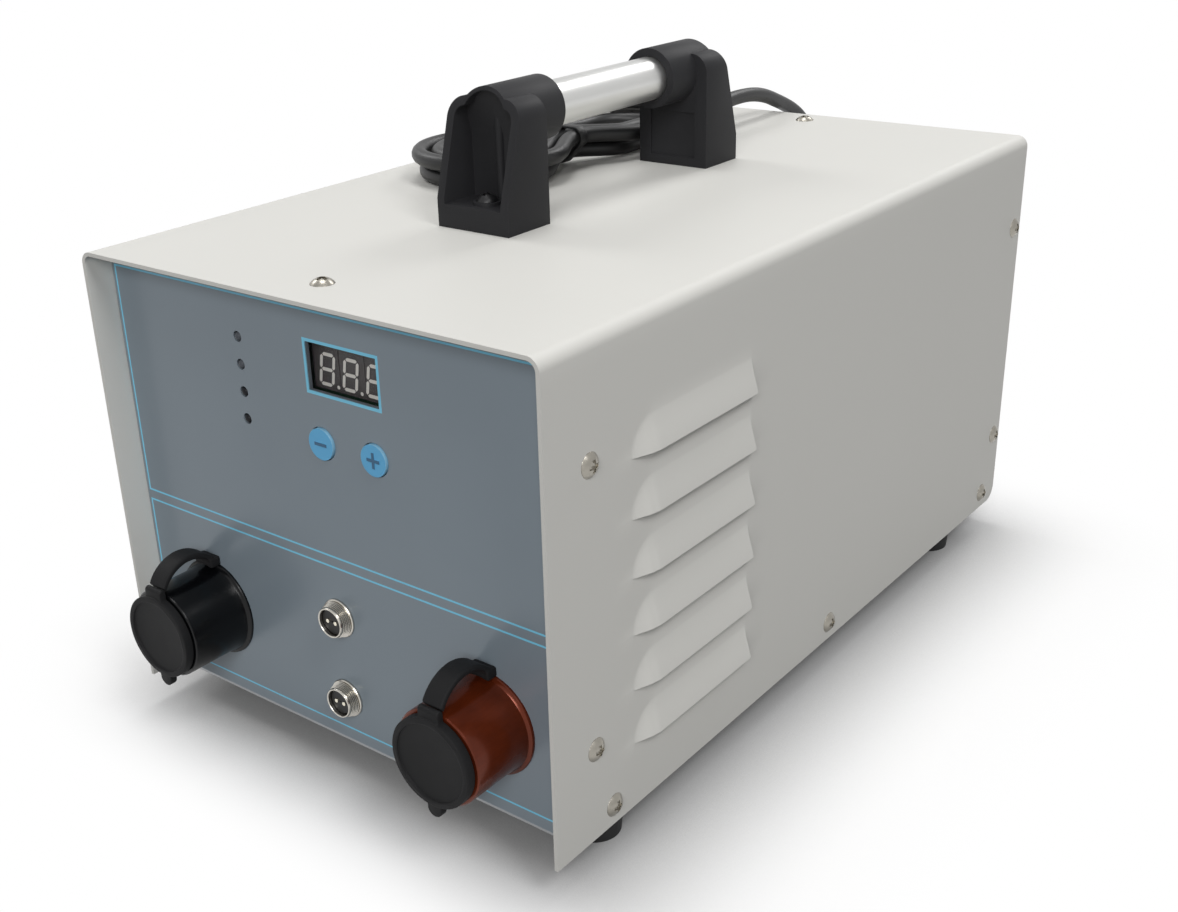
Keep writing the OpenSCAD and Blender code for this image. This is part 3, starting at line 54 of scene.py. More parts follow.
# %% Places that several pieces share
cover_low, cover_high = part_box("cover_shell")
front, tail = cover_low.y, cover_high.y
bottom, lid = cover_low.z, cover_high.z
half_w = 110 * MM
film_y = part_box("front_film")[0].y
print("the cover's lower edge is", round(bottom / MM), "mm above the floor")

# %% [markdown]
# ## Camera
# The camera comes first, because it decides what has to look right. Its place and turn were found by
# fitting the case's straight edges to the photograph. A long sensor shift would bend the other views,
# so only the few percent that the framing needs is used.

# %% Camera at the photograph's angle
eye = bpy.data.cameras.new("photo_camera")
eye.sensor_width = 36.0
eye.lens = 44.47
eye.shift_x = 0.0331
eye.shift_y = 0.0204
eye.clip_start = 0.01
camera = bpy.data.objects.new("photo_camera", eye)
eye_place = (0.36107, -0.47968, 0.33984)
right = Vector((0.785487, 0.618024, -0.032522))
up = Vector((-0.231775, 0.342489, 0.910484))
back = right.cross(up)
turn = Matrix((right, up, back)).transposed()
camera.matrix_world = Matrix.Translation(eye_place) @ turn.to_4x4()
bpy.context.scene.collection.objects.link(camera)
bpy.context.scene.camera = camera
print("camera looks along", [round(v, 3) for v in -back])

# %% [markdown]
# ## Shader maths as sums
# Every finish below is a small node tree. Wiring nodes by hand hides the idea, so one class wraps a
# socket and lets Python's own signs add the Math nodes: `1 - mask` is a node, `0.2 * 3` is a number.
# Any other node comes from one method, which sets the node's options first and then its sockets.


# %% The socket wrapper
class Flow:
    """An output socket of a finish, usable in sums."""

    def __init__(self, tree, socket=None):
        self.tree = tree
        self.socket = socket

    def node(self, kind, settings=None, inputs=None, out=0):
        made = self.tree.nodes.new(kind)
        for key, value in (settings or {}).items():
            setattr(made, key, value)
        for key, value in (inputs or {}).items():
            self.feed(made.inputs[key], value)
        return Flow(self.tree, made.outputs[out])

    def feed(self, socket, value):
        if isinstance(value, Flow):
            self.tree.links.new(value.socket, socket)
        elif socket.type == "RGBA" and len(value) == 3:
            socket.default_value = (*value, 1.0)
        else:
            socket.default_value = value

    def maths(self, operation, *terms):
        return self.node("ShaderNodeMath", {"operation": operation}, dict(enumerate(terms)))

    def __add__(self, other):
        return self.maths("ADD", self, other)

    def __radd__(self, other):
        return self.maths("ADD", other, self)

    def __sub__(self, other):
        return self.maths("SUBTRACT", self, other)

    def __rsub__(self, other):
        return self.maths("SUBTRACT", other, self)

    def __mul__(self, other):
        return self.maths("MULTIPLY", self, other)

    def __rmul__(self, other):
        return self.maths("MULTIPLY", other, self)

    def __abs__(self):
        return self.maths("ABSOLUTE", self)

    def axis(self, letter):
        """One coordinate of a place."""
        return self.node("ShaderNodeSeparateXYZ", None, {0: self}, out=letter)

    def below(self, limit, soft=0.06 * MM):
        """1 where this value is under the limit, with a soft step so that edges don't stair."""
        return self.node("ShaderNodeMapRange", {"interpolation_type": "SMOOTHSTEP"},
                         {"Value": self, "From Min": limit - soft, "From Max": limit + soft,
                          "To Min": 1.0, "To Max": 0.0})

    def at_least(self, other):
        return self.maths("MAXIMUM", self, other)

    def blend(self, first, second):
        """A colour that goes from first to second as this value goes from 0 to 1."""
        return self.node("ShaderNodeMix", {"data_type": "RGBA"}, {0: self, 6: first, 7: second}, out=2)


print("maths nodes come from plain sums")

# %% [markdown]
# ## One recipe for most finishes
# Paint, plastic, rubber and metal differ in colour, gloss and grain, but all of them vary a little
# over their surface. The recipe takes a colour and a roughness, lets a coarse and a fine noise move
# both, and turns the fine one into bump as well. A Bevel node softens the hard corners of the solids
# in the light.


# %% The recipe
def linear(red, green, blue):
    """A colour as seen on a screen, 0 to 255, as the linear values that shaders use."""
    shares = [c / 255 for c in (red, green, blue)]
    return tuple(((c + 0.055) / 1.055) ** 2.4 if c > 0.04045 else c / 12.92 for c in shares)


def shade(colour, factor):
    return tuple(min(1.0, c * factor) for c in colour)


def begin(name):
    """An empty material: its shader is joined up, and its place on the object is ready to use."""
    look = bpy.data.materials.new(name)
    look.use_nodes = True
    tree = look.node_tree
    tree.nodes.clear()
    shader = tree.nodes.new("ShaderNodeBsdfPrincipled")
    output = tree.nodes.new("ShaderNodeOutputMaterial")
    tree.links.new(shader.outputs[0], output.inputs[0])
    place = Flow(tree).node("ShaderNodeTexCoord", out="Object")
    return look, shader, place


def noise(place, size_mm, detail=3.0, stretch=(1, 1, 1)):
    """Noise whose blobs are about size_mm across; stretch draws them out along an axis."""
    scaled = place.node("ShaderNodeVectorMath", {"operation": "MULTIPLY"},
                        {0: place, 1: tuple(1 / (size_mm * MM * s) for s in stretch)})
    return place.node("ShaderNodeTexNoise", None, {"Vector": scaled, "Scale": 1.0, "Detail": detail})


def relief(place, height, strength, depth_mm, corner_mm):
    """Bump from a height, on top of corners that are softened by corner_mm."""
    inputs = {"Height": height, "Strength": strength, "Distance": depth_mm * MM}
    if corner_mm:
        inputs["Normal"] = place.node("ShaderNodeBevel", {"samples": 4}, {"Radius": corner_mm * MM})
    return place.node("ShaderNodeBump", None, inputs)


def finish(name, colour, rough, metal=0.0, vary=0.06, blotch_mm=30, grain_mm=0.8, grain=0.15,
           depth_mm=0.05, stretch=(1, 1, 1), corner_mm=0.3, coat=0.0, tint=None, shine=0.5):
    """A finished material: varied colour and gloss, fine grain and softened corners."""
    look, shader, place = begin(name)
    cloud = noise(place, blotch_mm, 4.0)
    fine = noise(place, grain_mm, 2.0, stretch)
    low = tint or shade(colour, 1 - vary)
    mottle = 0.7 * cloud + 0.3 * fine
    place.feed(shader.inputs["Base Color"], mottle.blend(low, shade(colour, 1 + vary)))
    place.feed(shader.inputs["Roughness"], rough * (0.8 + 0.25 * cloud + 0.15 * fine))
    shader.inputs["Metallic"].default_value = metal
    shader.inputs["Coat Weight"].default_value = coat
    shader.inputs["Coat Roughness"].default_value = 0.08
    shader.inputs["Specular IOR Level"].default_value = shine
    place.feed(shader.inputs["Normal"], relief(place, fine, grain, depth_mm, corner_mm))
    return look


def wear(look, *pieces):
    """Gives a finish to solids, by name, or to new pieces."""
    for piece in pieces:
        target = solid[piece] if isinstance(piece, str) else piece
        target.data.materials.clear()
        target.data.materials.append(look)


print("recipe ready")

# %% [markdown]
# ## The mains lead
# A 7 mm rubber lead leaves the gland at the rear, hangs in one loop, comes over the rear edge of the
# lid and is put away there as a tied hank with its plug behind. It is one fixed length, so it is one
# curve: the same route as in the solids, from the gland to the plug, given a round section. Its
# sizes are in millimetres.

# %% Sizes of the lead
lead_d = 7
gland = Vector((0.0, 0.190775, 0.064))
over_lid = [(-21.7, -76, 11.5), (-22.1, -68, 12), (-22.5, -60, 12.6), (-22.8, -52, 13.2), (-23, -44, 13.5),
            (-23, -36, 13.4), (-23, -28, 12.8), (-23, -20, 11.5), (-23, -12, 9.4), (-23, -4, 6.5),
            (-23, 4, 3.4), (-22.8, 12, -0.2), (-22.3, 19.5, -4.8), (-21.5, 26, -10.8), (-20.3, 31, -18.3),
            (-18.6, 34, -27), (-16.5, 35.2, -37), (-14, 35.5, -48)]
down_rear = [(-10.8, 35.5, 74), (-7.4, 35.3, 60), (-4.2, 34.8, 46), (-1.6, 33.4, 32), (-0.3, 28.5, 16),
             (0, 20, 5), (0, 7.5, 0)]
hank_x, hank_run, hank_front = -56.5, 99.0, 2.775
waist, waist_pull, waist_lift = 33, 12, 2
tie_y = hank_front + waist
first_layer, layer_step, half_climb = 3.8, 7.5, 0.11
spiral = [(0, 31), (1.125, 21), (2.75, 35)]
turn_back, loops = spiral[1][0], spiral[2][0]
hank_steps, route_steps = 440, 6
plug_run, plug_rise, plug_rise_run, plug_steps = 32, 4.5, 25, 12
print("the hank has", loops, "loops")


# %% Route of the lead
def between(value, knots):
    """Straight-line lookup in a list of (at, value) pairs."""
    for (a, p), (b, q) in zip(knots, knots[1:]):
        if value <= b:
            return p + (q - p) * max(0.0, (value - a) / (b - a))
    return knots[-1][1]


def hank_point(loop):
    """Middle of the lead after a number of loops: left run, front bend, right run, rear bend."""
    radius = between(loop, spiral)
    level = between(loop, [(turn_back - half_climb, 0), (turn_back + half_climb, 1)])
    part = loop - math.floor(loop)
    ahead, behind = hank_front, hank_front + hank_run
    swing = math.pi * 4 * (part % 0.25)
    if part < 0.25:
        aside, y = -1.0, behind - 4 * part * hank_run
    elif part < 0.5:
        aside, y = -math.cos(swing), ahead - radius * math.sin(swing)
    elif part < 0.75:
        aside, y = 1.0, ahead + 4 * (part - 0.5) * hank_run
    else:
        aside, y = math.cos(swing), behind + radius * math.sin(swing)
    from_tie = abs(y - tie_y)
    pull = (1 + math.cos(math.pi * from_tie / waist)) / 2 if from_tie < waist else 0.0
    x = hank_x + aside * (radius - waist_pull * pull)
    z = first_layer + layer_step * level + waist_lift * pull
    return Vector((x, y, z)) * MM + Vector((0, 0, lid))


def from_rear_edge(points, height):
    """Places given in millimetres from the middle, the cover's rear edge and a height."""
    return [Vector((x, 0, z)) * MM + Vector((0, tail + y * MM, height)) for x, y, z in points]


def smooth_line(points, steps):
    """A smooth curve through points, with a number of steps between each two."""
    line = []
    for i in range(len(points) - 1):
        a, b, c, d = (points[max(0, min(len(points) - 1, i + k))] for k in (-1, 0, 1, 2))
        for k in range(steps):
            t = k / steps
            line.append((2 * b + (c - a) * t + (2 * a - 5 * b + 4 * c - d) * t * t
                         + (3 * b - a - 3 * c + d) * t * t * t) / 2)
    return line + [points[-1]]


hank_end = hank_point(loops) + Vector((0, lead_d * MM, 0))
route = [hank_end] + from_rear_edge(over_lid, lid) + from_rear_edge(down_rear, gland.z) + [gland]
free = smooth_line(route, route_steps)[::-1]
wound = [hank_point(loops * i / hank_steps) for i in range(hank_steps, -1, -1)]
plug_lead = []
for i in range(1, plug_steps + 1):
    along = plug_run * i / plug_steps
    risen = (1 - math.cos(math.pi * min(1.0, along / plug_rise_run))) / 2
    plug_lead.append(hank_point(0) + Vector((0, along, plug_rise * risen)) * MM)
line = free + wound + plug_lead
length = sum((b - a).length for a, b in zip(line, line[1:]))
print("lead:", round(length, 3), "m in", len(line), "points")

# %% The lead as one curve
curve = bpy.data.curves.new("mains_lead", "CURVE")
curve.dimensions = "3D"
curve.bevel_depth = 1.0
curve.bevel_resolution = 5
curve.use_fill_caps = True
spline = curve.splines.new("POLY")
spline.points.add(len(line) - 1)
for point, at in zip(spline.points, line):
    point.co = (*at, 1.0)
    point.radius = lead_d / 2 * MM
spline.use_smooth = True
lead = bpy.data.objects.new("mains_lead", curve)
bpy.context.scene.collection.objects.link(lead)
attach(lead, "case")
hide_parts("power_cord", "cord_hank")
wear(finish("lead rubber", linear(24, 24, 25), 0.42, vary=0.2, blotch_mm=40, grain_mm=0.6, grain=0.08,
            corner_mm=0), lead)
print("lead made")

# %% [markdown]
# ## Meshes from the solids, with real rounded edges
# Moulded and cast pieces never have knife edges: a small radius catches a line of light along every
# corner. A solid's mesh is copied, its flat triangles are joined into whole faces, and every sharp
# edge is bevelled. The copy then stands for the solid, which keeps its place in the physics,
# hidden.

# %% Helpers for new pieces
weld_gap = 0.002 * MM
flat_angle = math.radians(0.5)


def crisp(mesh, degrees):
    """Smooth shading everywhere but across sharp edges."""
    bm = bmesh.new()
    bm.from_mesh(mesh)
    for edge in bm.edges:
        edge.smooth = edge.calc_face_angle(math.pi) < math.radians(degrees)
    for face in bm.faces:
        face.smooth = True
    bm.to_mesh(mesh)
    bm.free()


def add_piece(name, bm, body, look, replaced=(), degrees=38):
    """Turns a finished bmesh into a piece that rides a body and may stand for solids."""
    mesh = bpy.data.meshes.new(name)
    bm.to_mesh(mesh)
    bm.free()
    crisp(mesh, degrees)
    piece = bpy.data.objects.new(name, mesh)
    bpy.context.scene.collection.objects.link(piece)
    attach(piece, body)
    if replaced:
        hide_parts(*replaced)
    wear(look, piece)
    return piece


def rounded(name, from_solid, body, look, radius_mm, segments=3, degrees=30):
    """A copy of a solid with its sharp edges rounded."""
    bm = bmesh.new()
    bm.from_mesh(solid[from_solid].data)
    bmesh.ops.remove_doubles(bm, verts=bm.verts, dist=weld_gap)
    bmesh.ops.dissolve_limit(bm, angle_limit=flat_angle, verts=bm.verts, edges=bm.edges)
    limit = math.radians(degrees)
    sharp = [e for e in bm.edges if len(e.link_faces) == 2 and e.calc_face_angle(0) > limit]
    bmesh.ops.bevel(bm, geom=sharp, offset=radius_mm * MM, offset_type="OFFSET", segments=segments,
                    profile=0.5, affect="EDGES", clamp_overlap=True)
    return add_piece(name, bm, body, look, (from_solid,))


print("helpers ready")

# %% [markdown]
# ## Tie and plug
# The hank is held by a black band with a locking head. The band is drawn round the outermost strands
# at the waist. The plug is a moulded rubber body with a tapering boot, and three flat brass blades.

# %% Tie
cord_moulding = finish("moulded rubber", linear(26, 26, 27), 0.5, vary=0.2, grain_mm=0.5, grain=0.2)
band_in, band_out, band_half, band_steps = 3.55, 4.75, 2.5, 120
lock_size, lock_rise, tie_edge = (7, 6, 4), 6.1, 0.35
left_pass = 0.25 * (hank_run - waist) / hank_run
right_pass = 0.5 + 0.25 * waist / hank_run
strands = [hank_point(k + part) for k in range(3) for part in (left_pass, right_pass)]
section = [(band_in, -band_half), (band_out, -band_half), (band_out, band_half), (band_in, band_half)]
bm = bmesh.new()
hoop = []
for i in range(band_steps):
    angle = 2 * math.pi * i / band_steps
    out = Vector((math.cos(angle), 0, math.sin(angle)))
    outermost = max(strands, key=lambda p: p.dot(out))
    ring = []
    for grow, aside in section:
        at = outermost + out * grow * MM
        ring.append(bm.verts.new((at.x, (tie_y + aside) * MM, at.z)))
    hoop.append(ring)
for one, two in zip(hoop, hoop[1:] + hoop[:1]):
    for k in range(4):
        bm.faces.new((one[k], one[(k + 1) % 4], two[(k + 1) % 4], two[k]))
lock = bmesh.ops.create_cube(bm, size=1.0)["verts"]
bmesh.ops.scale(bm, vec=Vector(lock_size) * MM, verts=lock)
lock_z = max(p.z for p in strands) + lock_rise * MM
bmesh.ops.translate(bm, vec=(hank_x * MM, tie_y * MM, lock_z), verts=lock)
bmesh.ops.recalc_face_normals(bm, faces=bm.faces)
edges = [e for e in bm.edges if e.calc_face_angle(0) > math.radians(60)]
bmesh.ops.bevel(bm, geom=edges, offset=tie_edge * MM, segments=2, profile=0.5, affect="EDGES",
                clamp_overlap=True)
tie_band = add_piece("lead_tie", bm, "case", cord_moulding, ("cord_tie",))
print("tie drawn round", len(strands), "strands")

# %% Plug, and what goes with the lead
plug_body = rounded("mains_plug", "plug", "case", cord_moulding, 1.2)
print("tie and plug ride with the lead")

# %% [markdown]
# ## The cover and its louvres
# The cover is one sheet, folded over the machine. Each louvre is sheared along its lip and pressed
# out, so the sheet rises in a soft slope from a curved outline to an open lip. A grid with a double
# row of points along each lip can do the same: the upper row moves out, the lower row stays.

# %% Shape of a louvre
louvre_tip, louvre_len, louvre_h, louvre_out = front + 45 * MM, 76 * MM, 13 * MM, 3.6 * MM
tip_run, end_run = 15 * MM, 2.2 * MM
first_lip, lip_pitch, lip_count = 27 * MM, 22 * MM, 6
straight_share, facet_pace, crease_share, crease_half = 0.75, 1.5, 0.12, 0.25
lips = [bottom + first_lip + lip_pitch * i for i in range(lip_count)]


def soft_step(t):
    return t * t * (3 - 2 * t)


def louvre_rise(y, above):
    """How far the sheet stands out at a place, given its height above the lip."""
    from_tip = (y - louvre_tip) / tip_run
    to_end = (louvre_tip + louvre_len - y) / end_run
    if from_tip <= 0 or to_end <= 0:
        return 0.0
    from_tip, to_end = min(from_tip, 1.0), min(to_end, 1.0)
    top = louvre_h * math.sqrt(1 - (1 - from_tip) ** 2)
    down = 1 - above / max(top, weld_gap)
    if down <= 0:
        return 0.0
    slope = straight_share * down + (1 - straight_share) * soft_step(down)
    facet = facet_pace * from_tip
    crease = crease_share * max(0.0, 1 - abs(facet - 1) / crease_half) ** 2
    return louvre_out * slope * (min(1.0, facet) - crease) * soft_step(to_end)


print("a louvre stands out by", round(louvre_rise(front + 90 * MM, 0) / MM, 2), "mm at its lip")

# %% Grid of the folded sheet
corner_r, bend_r, bend_steps, flat_steps = 7 * MM, 5 * MM, 8, 12
tip_zone, end_zone = 18 * MM, 3 * MM
front_step, tip_step, middle_step, end_step, rear_step = 12 * MM, 1 * MM, 2.5 * MM, 0.3 * MM, 14 * MM
plain_step, slope_step, corner_step = 5 * MM, 0.9 * MM, 1 * MM
slot_front, slot_rear = louvre_tip, louvre_tip + louvre_len
bend_z, flat_half = lid - bend_r, half_w - bend_r


def steps(a, b, size):
    """Places from a up to but not including b, about size apart."""
    n = max(1, round(abs(b - a) / size))
    return [a + (b - a) * i / n for i in range(n)]


columns = steps(front, slot_front, front_step)
columns += steps(slot_front, slot_front + tip_zone, tip_step)
columns += steps(slot_front + tip_zone, slot_rear - end_zone, middle_step)
columns += steps(slot_rear - end_zone, slot_rear, end_step)
columns += steps(slot_rear, tail - corner_r, rear_step)
columns += steps(tail - corner_r, tail, corner_step) + [tail]
wall = [(z, None) for z in steps(bottom, bottom + corner_r, corner_step)]
reached = bottom + corner_r
for lip in lips:
    wall += [(z, None) for z in steps(reached, lip, plain_step)] + [(lip, None)]
    wall += [(z, lip) for z in steps(lip, lip + louvre_h, slope_step)]
    reached = lip + louvre_h
wall += [(z, None) for z in steps(reached, bend_z, plain_step)]


def corner(y, z):
    """Rounds the rear lower corner by drawing the grid's square corner into a quarter circle."""
    a = (y - (tail - corner_r)) / corner_r
    b = ((bottom + corner_r) - z) / corner_r
    if a <= 0 or b <= 0:
        return y, z
    return (tail - corner_r + corner_r * a * math.sqrt(1 - b * b / 2),
            bottom + corner_r - corner_r * b * math.sqrt(1 - a * a / 2))


def wall_rows(side):
    """Rows of points up one wall, each with its height."""
    rows = []
    for z, lip in wall:
        row = []
        for y in columns:
            rise = 0.0 if lip is None else louvre_rise(y, z - lip)
            row.append((side * (half_w + rise), *corner(y, z)))
        rows.append((row, z))
    return rows


bend = []
for i in range(bend_steps + 1):
    angle = math.pi / 2 * i / bend_steps
    bend.append((flat_half + bend_r * math.cos(angle), bend_z + bend_r * math.sin(angle)))
flat = [flat_half - 2 * flat_half * i / flat_steps for i in range(1, flat_steps)]
roof = bend + [(x, lid) for x in flat] + [(-x, z) for x, z in bend[::-1]]
roof_rows = [([(x, y, z) for y in columns], None) for x, z in roof]
sheet_rows = wall_rows(1) + roof_rows + wall_rows(-1)[::-1]
print("grid of", len(columns), "by", len(sheet_rows), "points")

# %% The cover as a sheet with thickness
bm = bmesh.new()
lines = [[bm.verts.new(p) for p in row] for row, height in sheet_rows]
heights = [height for row, height in sheet_rows]
for i in range(len(lines) - 1):
    is_slit = heights[i] is not None and heights[i] == heights[i + 1]
    if is_slit:
        continue
    for j in range(len(columns) - 1):
        bm.faces.new((lines[i][j], lines[i][j + 1], lines[i + 1][j + 1], lines[i + 1][j]))
bmesh.ops.remove_doubles(bm, verts=bm.verts, dist=weld_gap)
bmesh.ops.recalc_face_normals(bm, faces=bm.faces)
outward = sum(f.normal.z * f.calc_area() for f in bm.faces)
if outward < 0:
    bmesh.ops.reverse_faces(bm, faces=bm.faces)
powder = finish("powder coat", linear(222, 221, 216), 0.56, vary=0.025, blotch_mm=90, grain_mm=1.1,
                grain=0.10, depth_mm=0.06, corner_mm=0)
cover = add_piece("folded_cover", bm, "case", powder, ("cover_shell",), degrees=50)
thick = cover.modifiers.new("sheet", "SOLIDIFY")
thick.thickness = 1.5 * MM
thick.offset = -1.0
thick.use_even_offset = True
edge = cover.modifiers.new("edge", "BEVEL")
edge.width = 0.35 * MM
edge.segments = 2
edge.limit_method = "ANGLE"
edge.angle_limit = math.radians(60)
edge.harden_normals = True
print("cover:", len(cover.data.polygons), "faces before thickness")

# %% [markdown]
# ## Handle
# Two charcoal mouldings hold a brushed aluminium tube. The mouldings keep their solid shape with
# rounded edges and a fine leathery grain. The tube's brushing runs along its length, so its noise is
# drawn out along Y.

# %% Handle finishes
moulding = finish("charcoal moulding", linear(42, 42, 44), 0.5, vary=0.12, blotch_mm=18, grain_mm=0.7,
                  grain=0.35, depth_mm=0.06, corner_mm=0, shine=0.14)
for end in ("front", "rear"):
    rounded(f"{end}_bracket", f"{end}_handle_bracket", "case", moulding, 0.6)
brushed = finish("brushed tube", linear(216, 216, 214), 0.34, metal=1.0, vary=0.05, grain_mm=0.35,
                 grain=0.25, stretch=(1, 60, 1), corner_mm=0.2)
wear(brushed, "handle_tube")
print("handle done")

# %% [markdown]
# ## Printed front
# The front is a grey-blue film with light blue rules. Print has no thickness, so it belongs in the
# material: masks made from the place on the panel mix the ink into the film's colour. A light coat
# gives the film its gloss. The rules' sizes are in millimetres, from the panel's middle and from the
# cover's lower edge.

# %% The film and its rules
film, shader, place = begin("printed film")
x, z = place.axis("X"), place.axis("Z") - bottom
rules_left, rules_right, rule_w = -106.6, 101.6, 0.8
sight_x, sight_z, sight_half_w, sight_half_h, sight_rule_w = 13.5, 157, 17.6, 9.6, 1.2
rules = [(rules_left, rules_right, 83.4, 177.4, rule_w), (rules_left, rules_right, 9.0, 79.0, rule_w),
         (sight_x - sight_half_w, sight_x + sight_half_w, sight_z - sight_half_h, sight_z + sight_half_h,
          sight_rule_w)]


def rule_frame(left_edge, right_edge, low, high, width):
    """Mask of a thin rectangle drawn on the film."""
    mid_x, mid_z = (left_edge + right_edge) / 2 * MM, (low + high) / 2 * MM
    half_x, half_z = (right_edge - left_edge) / 2 * MM, (high - low) / 2 * MM
    out = (abs(x - mid_x) - half_x).at_least(abs(z - mid_z) - half_z)
    return abs(out).below(width / 2 * MM)


ink = rule_frame(*rules[0])
for rule in rules[1:]:
    ink = ink.at_least(rule_frame(*rule))
cloud = noise(place, 60, 4.0)
fine = noise(place, 0.5, 2.0)
grey = cloud.blend(linear(131, 143, 153), linear(141, 153, 162))
place.feed(shader.inputs["Base Color"], ink.blend(grey, linear(134, 218, 250)))
place.feed(shader.inputs["Roughness"], 0.26 + 0.10 * cloud)
shader.inputs["Coat Weight"].default_value = 0.08
shader.inputs["Coat Roughness"].default_value = 0.12
shader.inputs["Specular IOR Level"].default_value = 0.3
place.feed(shader.inputs["Normal"], relief(place, fine, 0.05, 0.03, 0))
wear(film, "front_film")
wear(finish("panel paint", linear(112, 120, 128), 0.45, vary=0.05, grain=0.1), "front_panel")
print("film printed with", len(rules), "rules")

# %% [markdown]
# ## Display, lamps and keys
# Behind a smoked window sits a three-digit block whose unlit segments are pale. Each segment is a
# slim six-sided bar, leaning a little, with a round point after each digit. The lamps are dull dark
# lenses, the upper two greyer. The keys' raised signs are told from their faces by height.

# %% Digits
block_low, block_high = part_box("display_module")
digit_pitch, digit_shift, digit_drop = 11.4, -0.6, 2.0
digit_half_w, digit_half_h = 3.05, 5.6
digit_lean = math.tan(math.radians(9))
bar_across, bar_upright, bar_w, bar_proud, bar_thick = 5.4, 5.1, 1.3, 0.05, 0.06
point_x, point_z, point_r = 4.3, -5.7, 0.7
block_x = (block_low.x + block_high.x) / 2
digit_z = (block_low.z + block_high.z) / 2 - digit_drop * MM
face_y = block_low.y - bar_proud * MM
bm = bmesh.new()


def segment(digit_x, cx, cz, long_mm, across):
    """A six-sided bar on the display's face, leaning with its digit."""
    a, w = long_mm / 2, bar_w / 2
    outline = [(-a, 0), (-a + w, w), (a - w, w), (a, 0), (a - w, -w), (-a + w, -w)]
    if not across:
        outline = [(q, p) for p, q in outline]
    ring = []
    for p, q in outline:
        rise = cz + q
        aside = cx + p + rise * digit_lean
        ring.append(bm.verts.new((digit_x + aside * MM, face_y, digit_z + rise * MM)))
    bm.faces.new(ring)


for step in (-1, 0, 1):
    digit_x = block_x + step * digit_pitch * MM
    for level in (-digit_half_h, 0, digit_half_h):
        segment(digit_x, digit_shift, level, bar_across, True)
    for aside in (-digit_half_w, digit_half_w):
        for level in (-digit_half_h / 2, digit_half_h / 2):
            segment(digit_x, digit_shift + aside, level, bar_upright, False)
    disc = bmesh.ops.create_circle(bm, cap_ends=True, radius=point_r * MM, segments=20)["verts"]
    turn_up = Matrix.Translation((digit_x + point_x * MM, face_y, digit_z + point_z * MM))
    bmesh.ops.transform(bm, matrix=turn_up @ Matrix.Rotation(math.pi / 2, 4, "X"), verts=disc)
bmesh.ops.recalc_face_normals(bm, faces=bm.faces)
grown = bmesh.ops.extrude_face_region(bm, geom=bm.faces[:])["geom"]
grown_verts = [g for g in grown if isinstance(g, bmesh.types.BMVert)]
bmesh.ops.translate(bm, vec=(0, bar_thick * MM, 0), verts=grown_verts)
bmesh.ops.recalc_face_normals(bm, faces=bm.faces)
segments_look = finish("unlit segments", linear(246, 243, 236), 0.5, vary=0.05, grain=0.05, corner_mm=0)
add_piece("display_digits", bm, "case", segments_look)
print("three digits of seven segments")

# %% Window and lamps
window, shader, place = begin("smoked window")
shader.inputs["Base Color"].default_value = (0.01, 0.01, 0.012, 1)
shader.inputs["Roughness"].default_value = 0.06
shader.inputs["Alpha"].default_value = 0.05
wear(window, "display_window")
wear(finish("display face", linear(72, 68, 68), 0.5, vary=0.1, grain=0.1, corner_mm=0), "display_module")

lens, shader, place = begin("lamp lenses")
lamps_middle = 145 * MM
dark = place.axis("Z").below(bottom + lamps_middle)
cloud = noise(place, 2.0)
place.feed(shader.inputs["Base Color"], dark.blend(linear(84, 88, 94), linear(17, 18, 22)))
place.feed(shader.inputs["Roughness"], 0.42 + 0.1 * cloud)
shader.inputs["Specular IOR Level"].default_value = 0.2
wear(lens, "indicator_lamps")
print("window and lamps done")

# %% Keys
key, shader, place = begin("key faces")
sign_skin, rim_inset, rim_half = 0.1 * MM, 0.9 * MM, 0.18 * MM
sign = place.axis("Y").below(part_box("minus_button")[0].y + sign_skin)
cloud = noise(place, 6)
face_blue = cloud.blend(linear(92, 178, 228), linear(104, 188, 236))
for name in ("minus_button", "plus_button"):
    low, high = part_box(name)
    offset = place.node("ShaderNodeVectorMath", {"operation": "SUBTRACT"}, {0: place, 1: (low + high) / 2})
    flat_offset = place.node("ShaderNodeVectorMath", {"operation": "MULTIPLY"}, {0: offset, 1: (1, 0, 1)})
    out = place.node("ShaderNodeVectorMath", {"operation": "LENGTH"}, {0: flat_offset}, out="Value")
    rim = abs(out - ((high.x - low.x) / 2 - rim_inset)).below(rim_half)
    face_blue = rim.blend(face_blue, linear(150, 208, 240))
place.feed(shader.inputs["Base Color"], sign.blend(face_blue, linear(44, 96, 132)))
place.feed(shader.inputs["Roughness"], 0.34 + 0.12 * cloud)
place.feed(shader.inputs["Normal"], relief(place, noise(place, 0.5), 0.08, 0.03, 0.4))
wear(key, "minus_button", "plus_button")
print("keys done")

# %% [markdown]
# ## Weld sockets and their caps
# The barrels are glossy mouldings, one black and one brown-red. Soft rubber caps close them, each
# held by a bent strap. The caps and straps are copies with rounded edges, because rubber is never
# sharp. A strap is also skinned anew and smoothed, so that its foot melts into one soft lug. A turned
# piece is a profile spun round an axis: a barrel flares softly into its thin lip.


# %% Turned pieces
def turned(name, profile, x_mm, z_mm, look, replaced, count=56):
    """Spins a profile of (radius, distance out of the film) in millimetres round an axis along -Y."""
    bm = bmesh.new()
    rings = []
    for radius, out in profile:
        ring = []
        for i in range(count):
            angle = 2 * math.pi * i / count
            x = (x_mm + radius * math.cos(angle)) * MM
            z = bottom + (z_mm + radius * math.sin(angle)) * MM
            ring.append(bm.verts.new((x, film_y - out * MM, z)))
        rings.append(ring)
    for a, b in zip(rings, rings[1:] + rings[:1]):
        for i in range(count):
            j = (i + 1) % count
            bm.faces.new((a[i], a[j], b[j], b[i]))
    bmesh.ops.recalc_face_normals(bm, faces=bm.faces)
    return add_piece(name, bm, "case", look, replaced, degrees=25)


print("a profile can be turned")

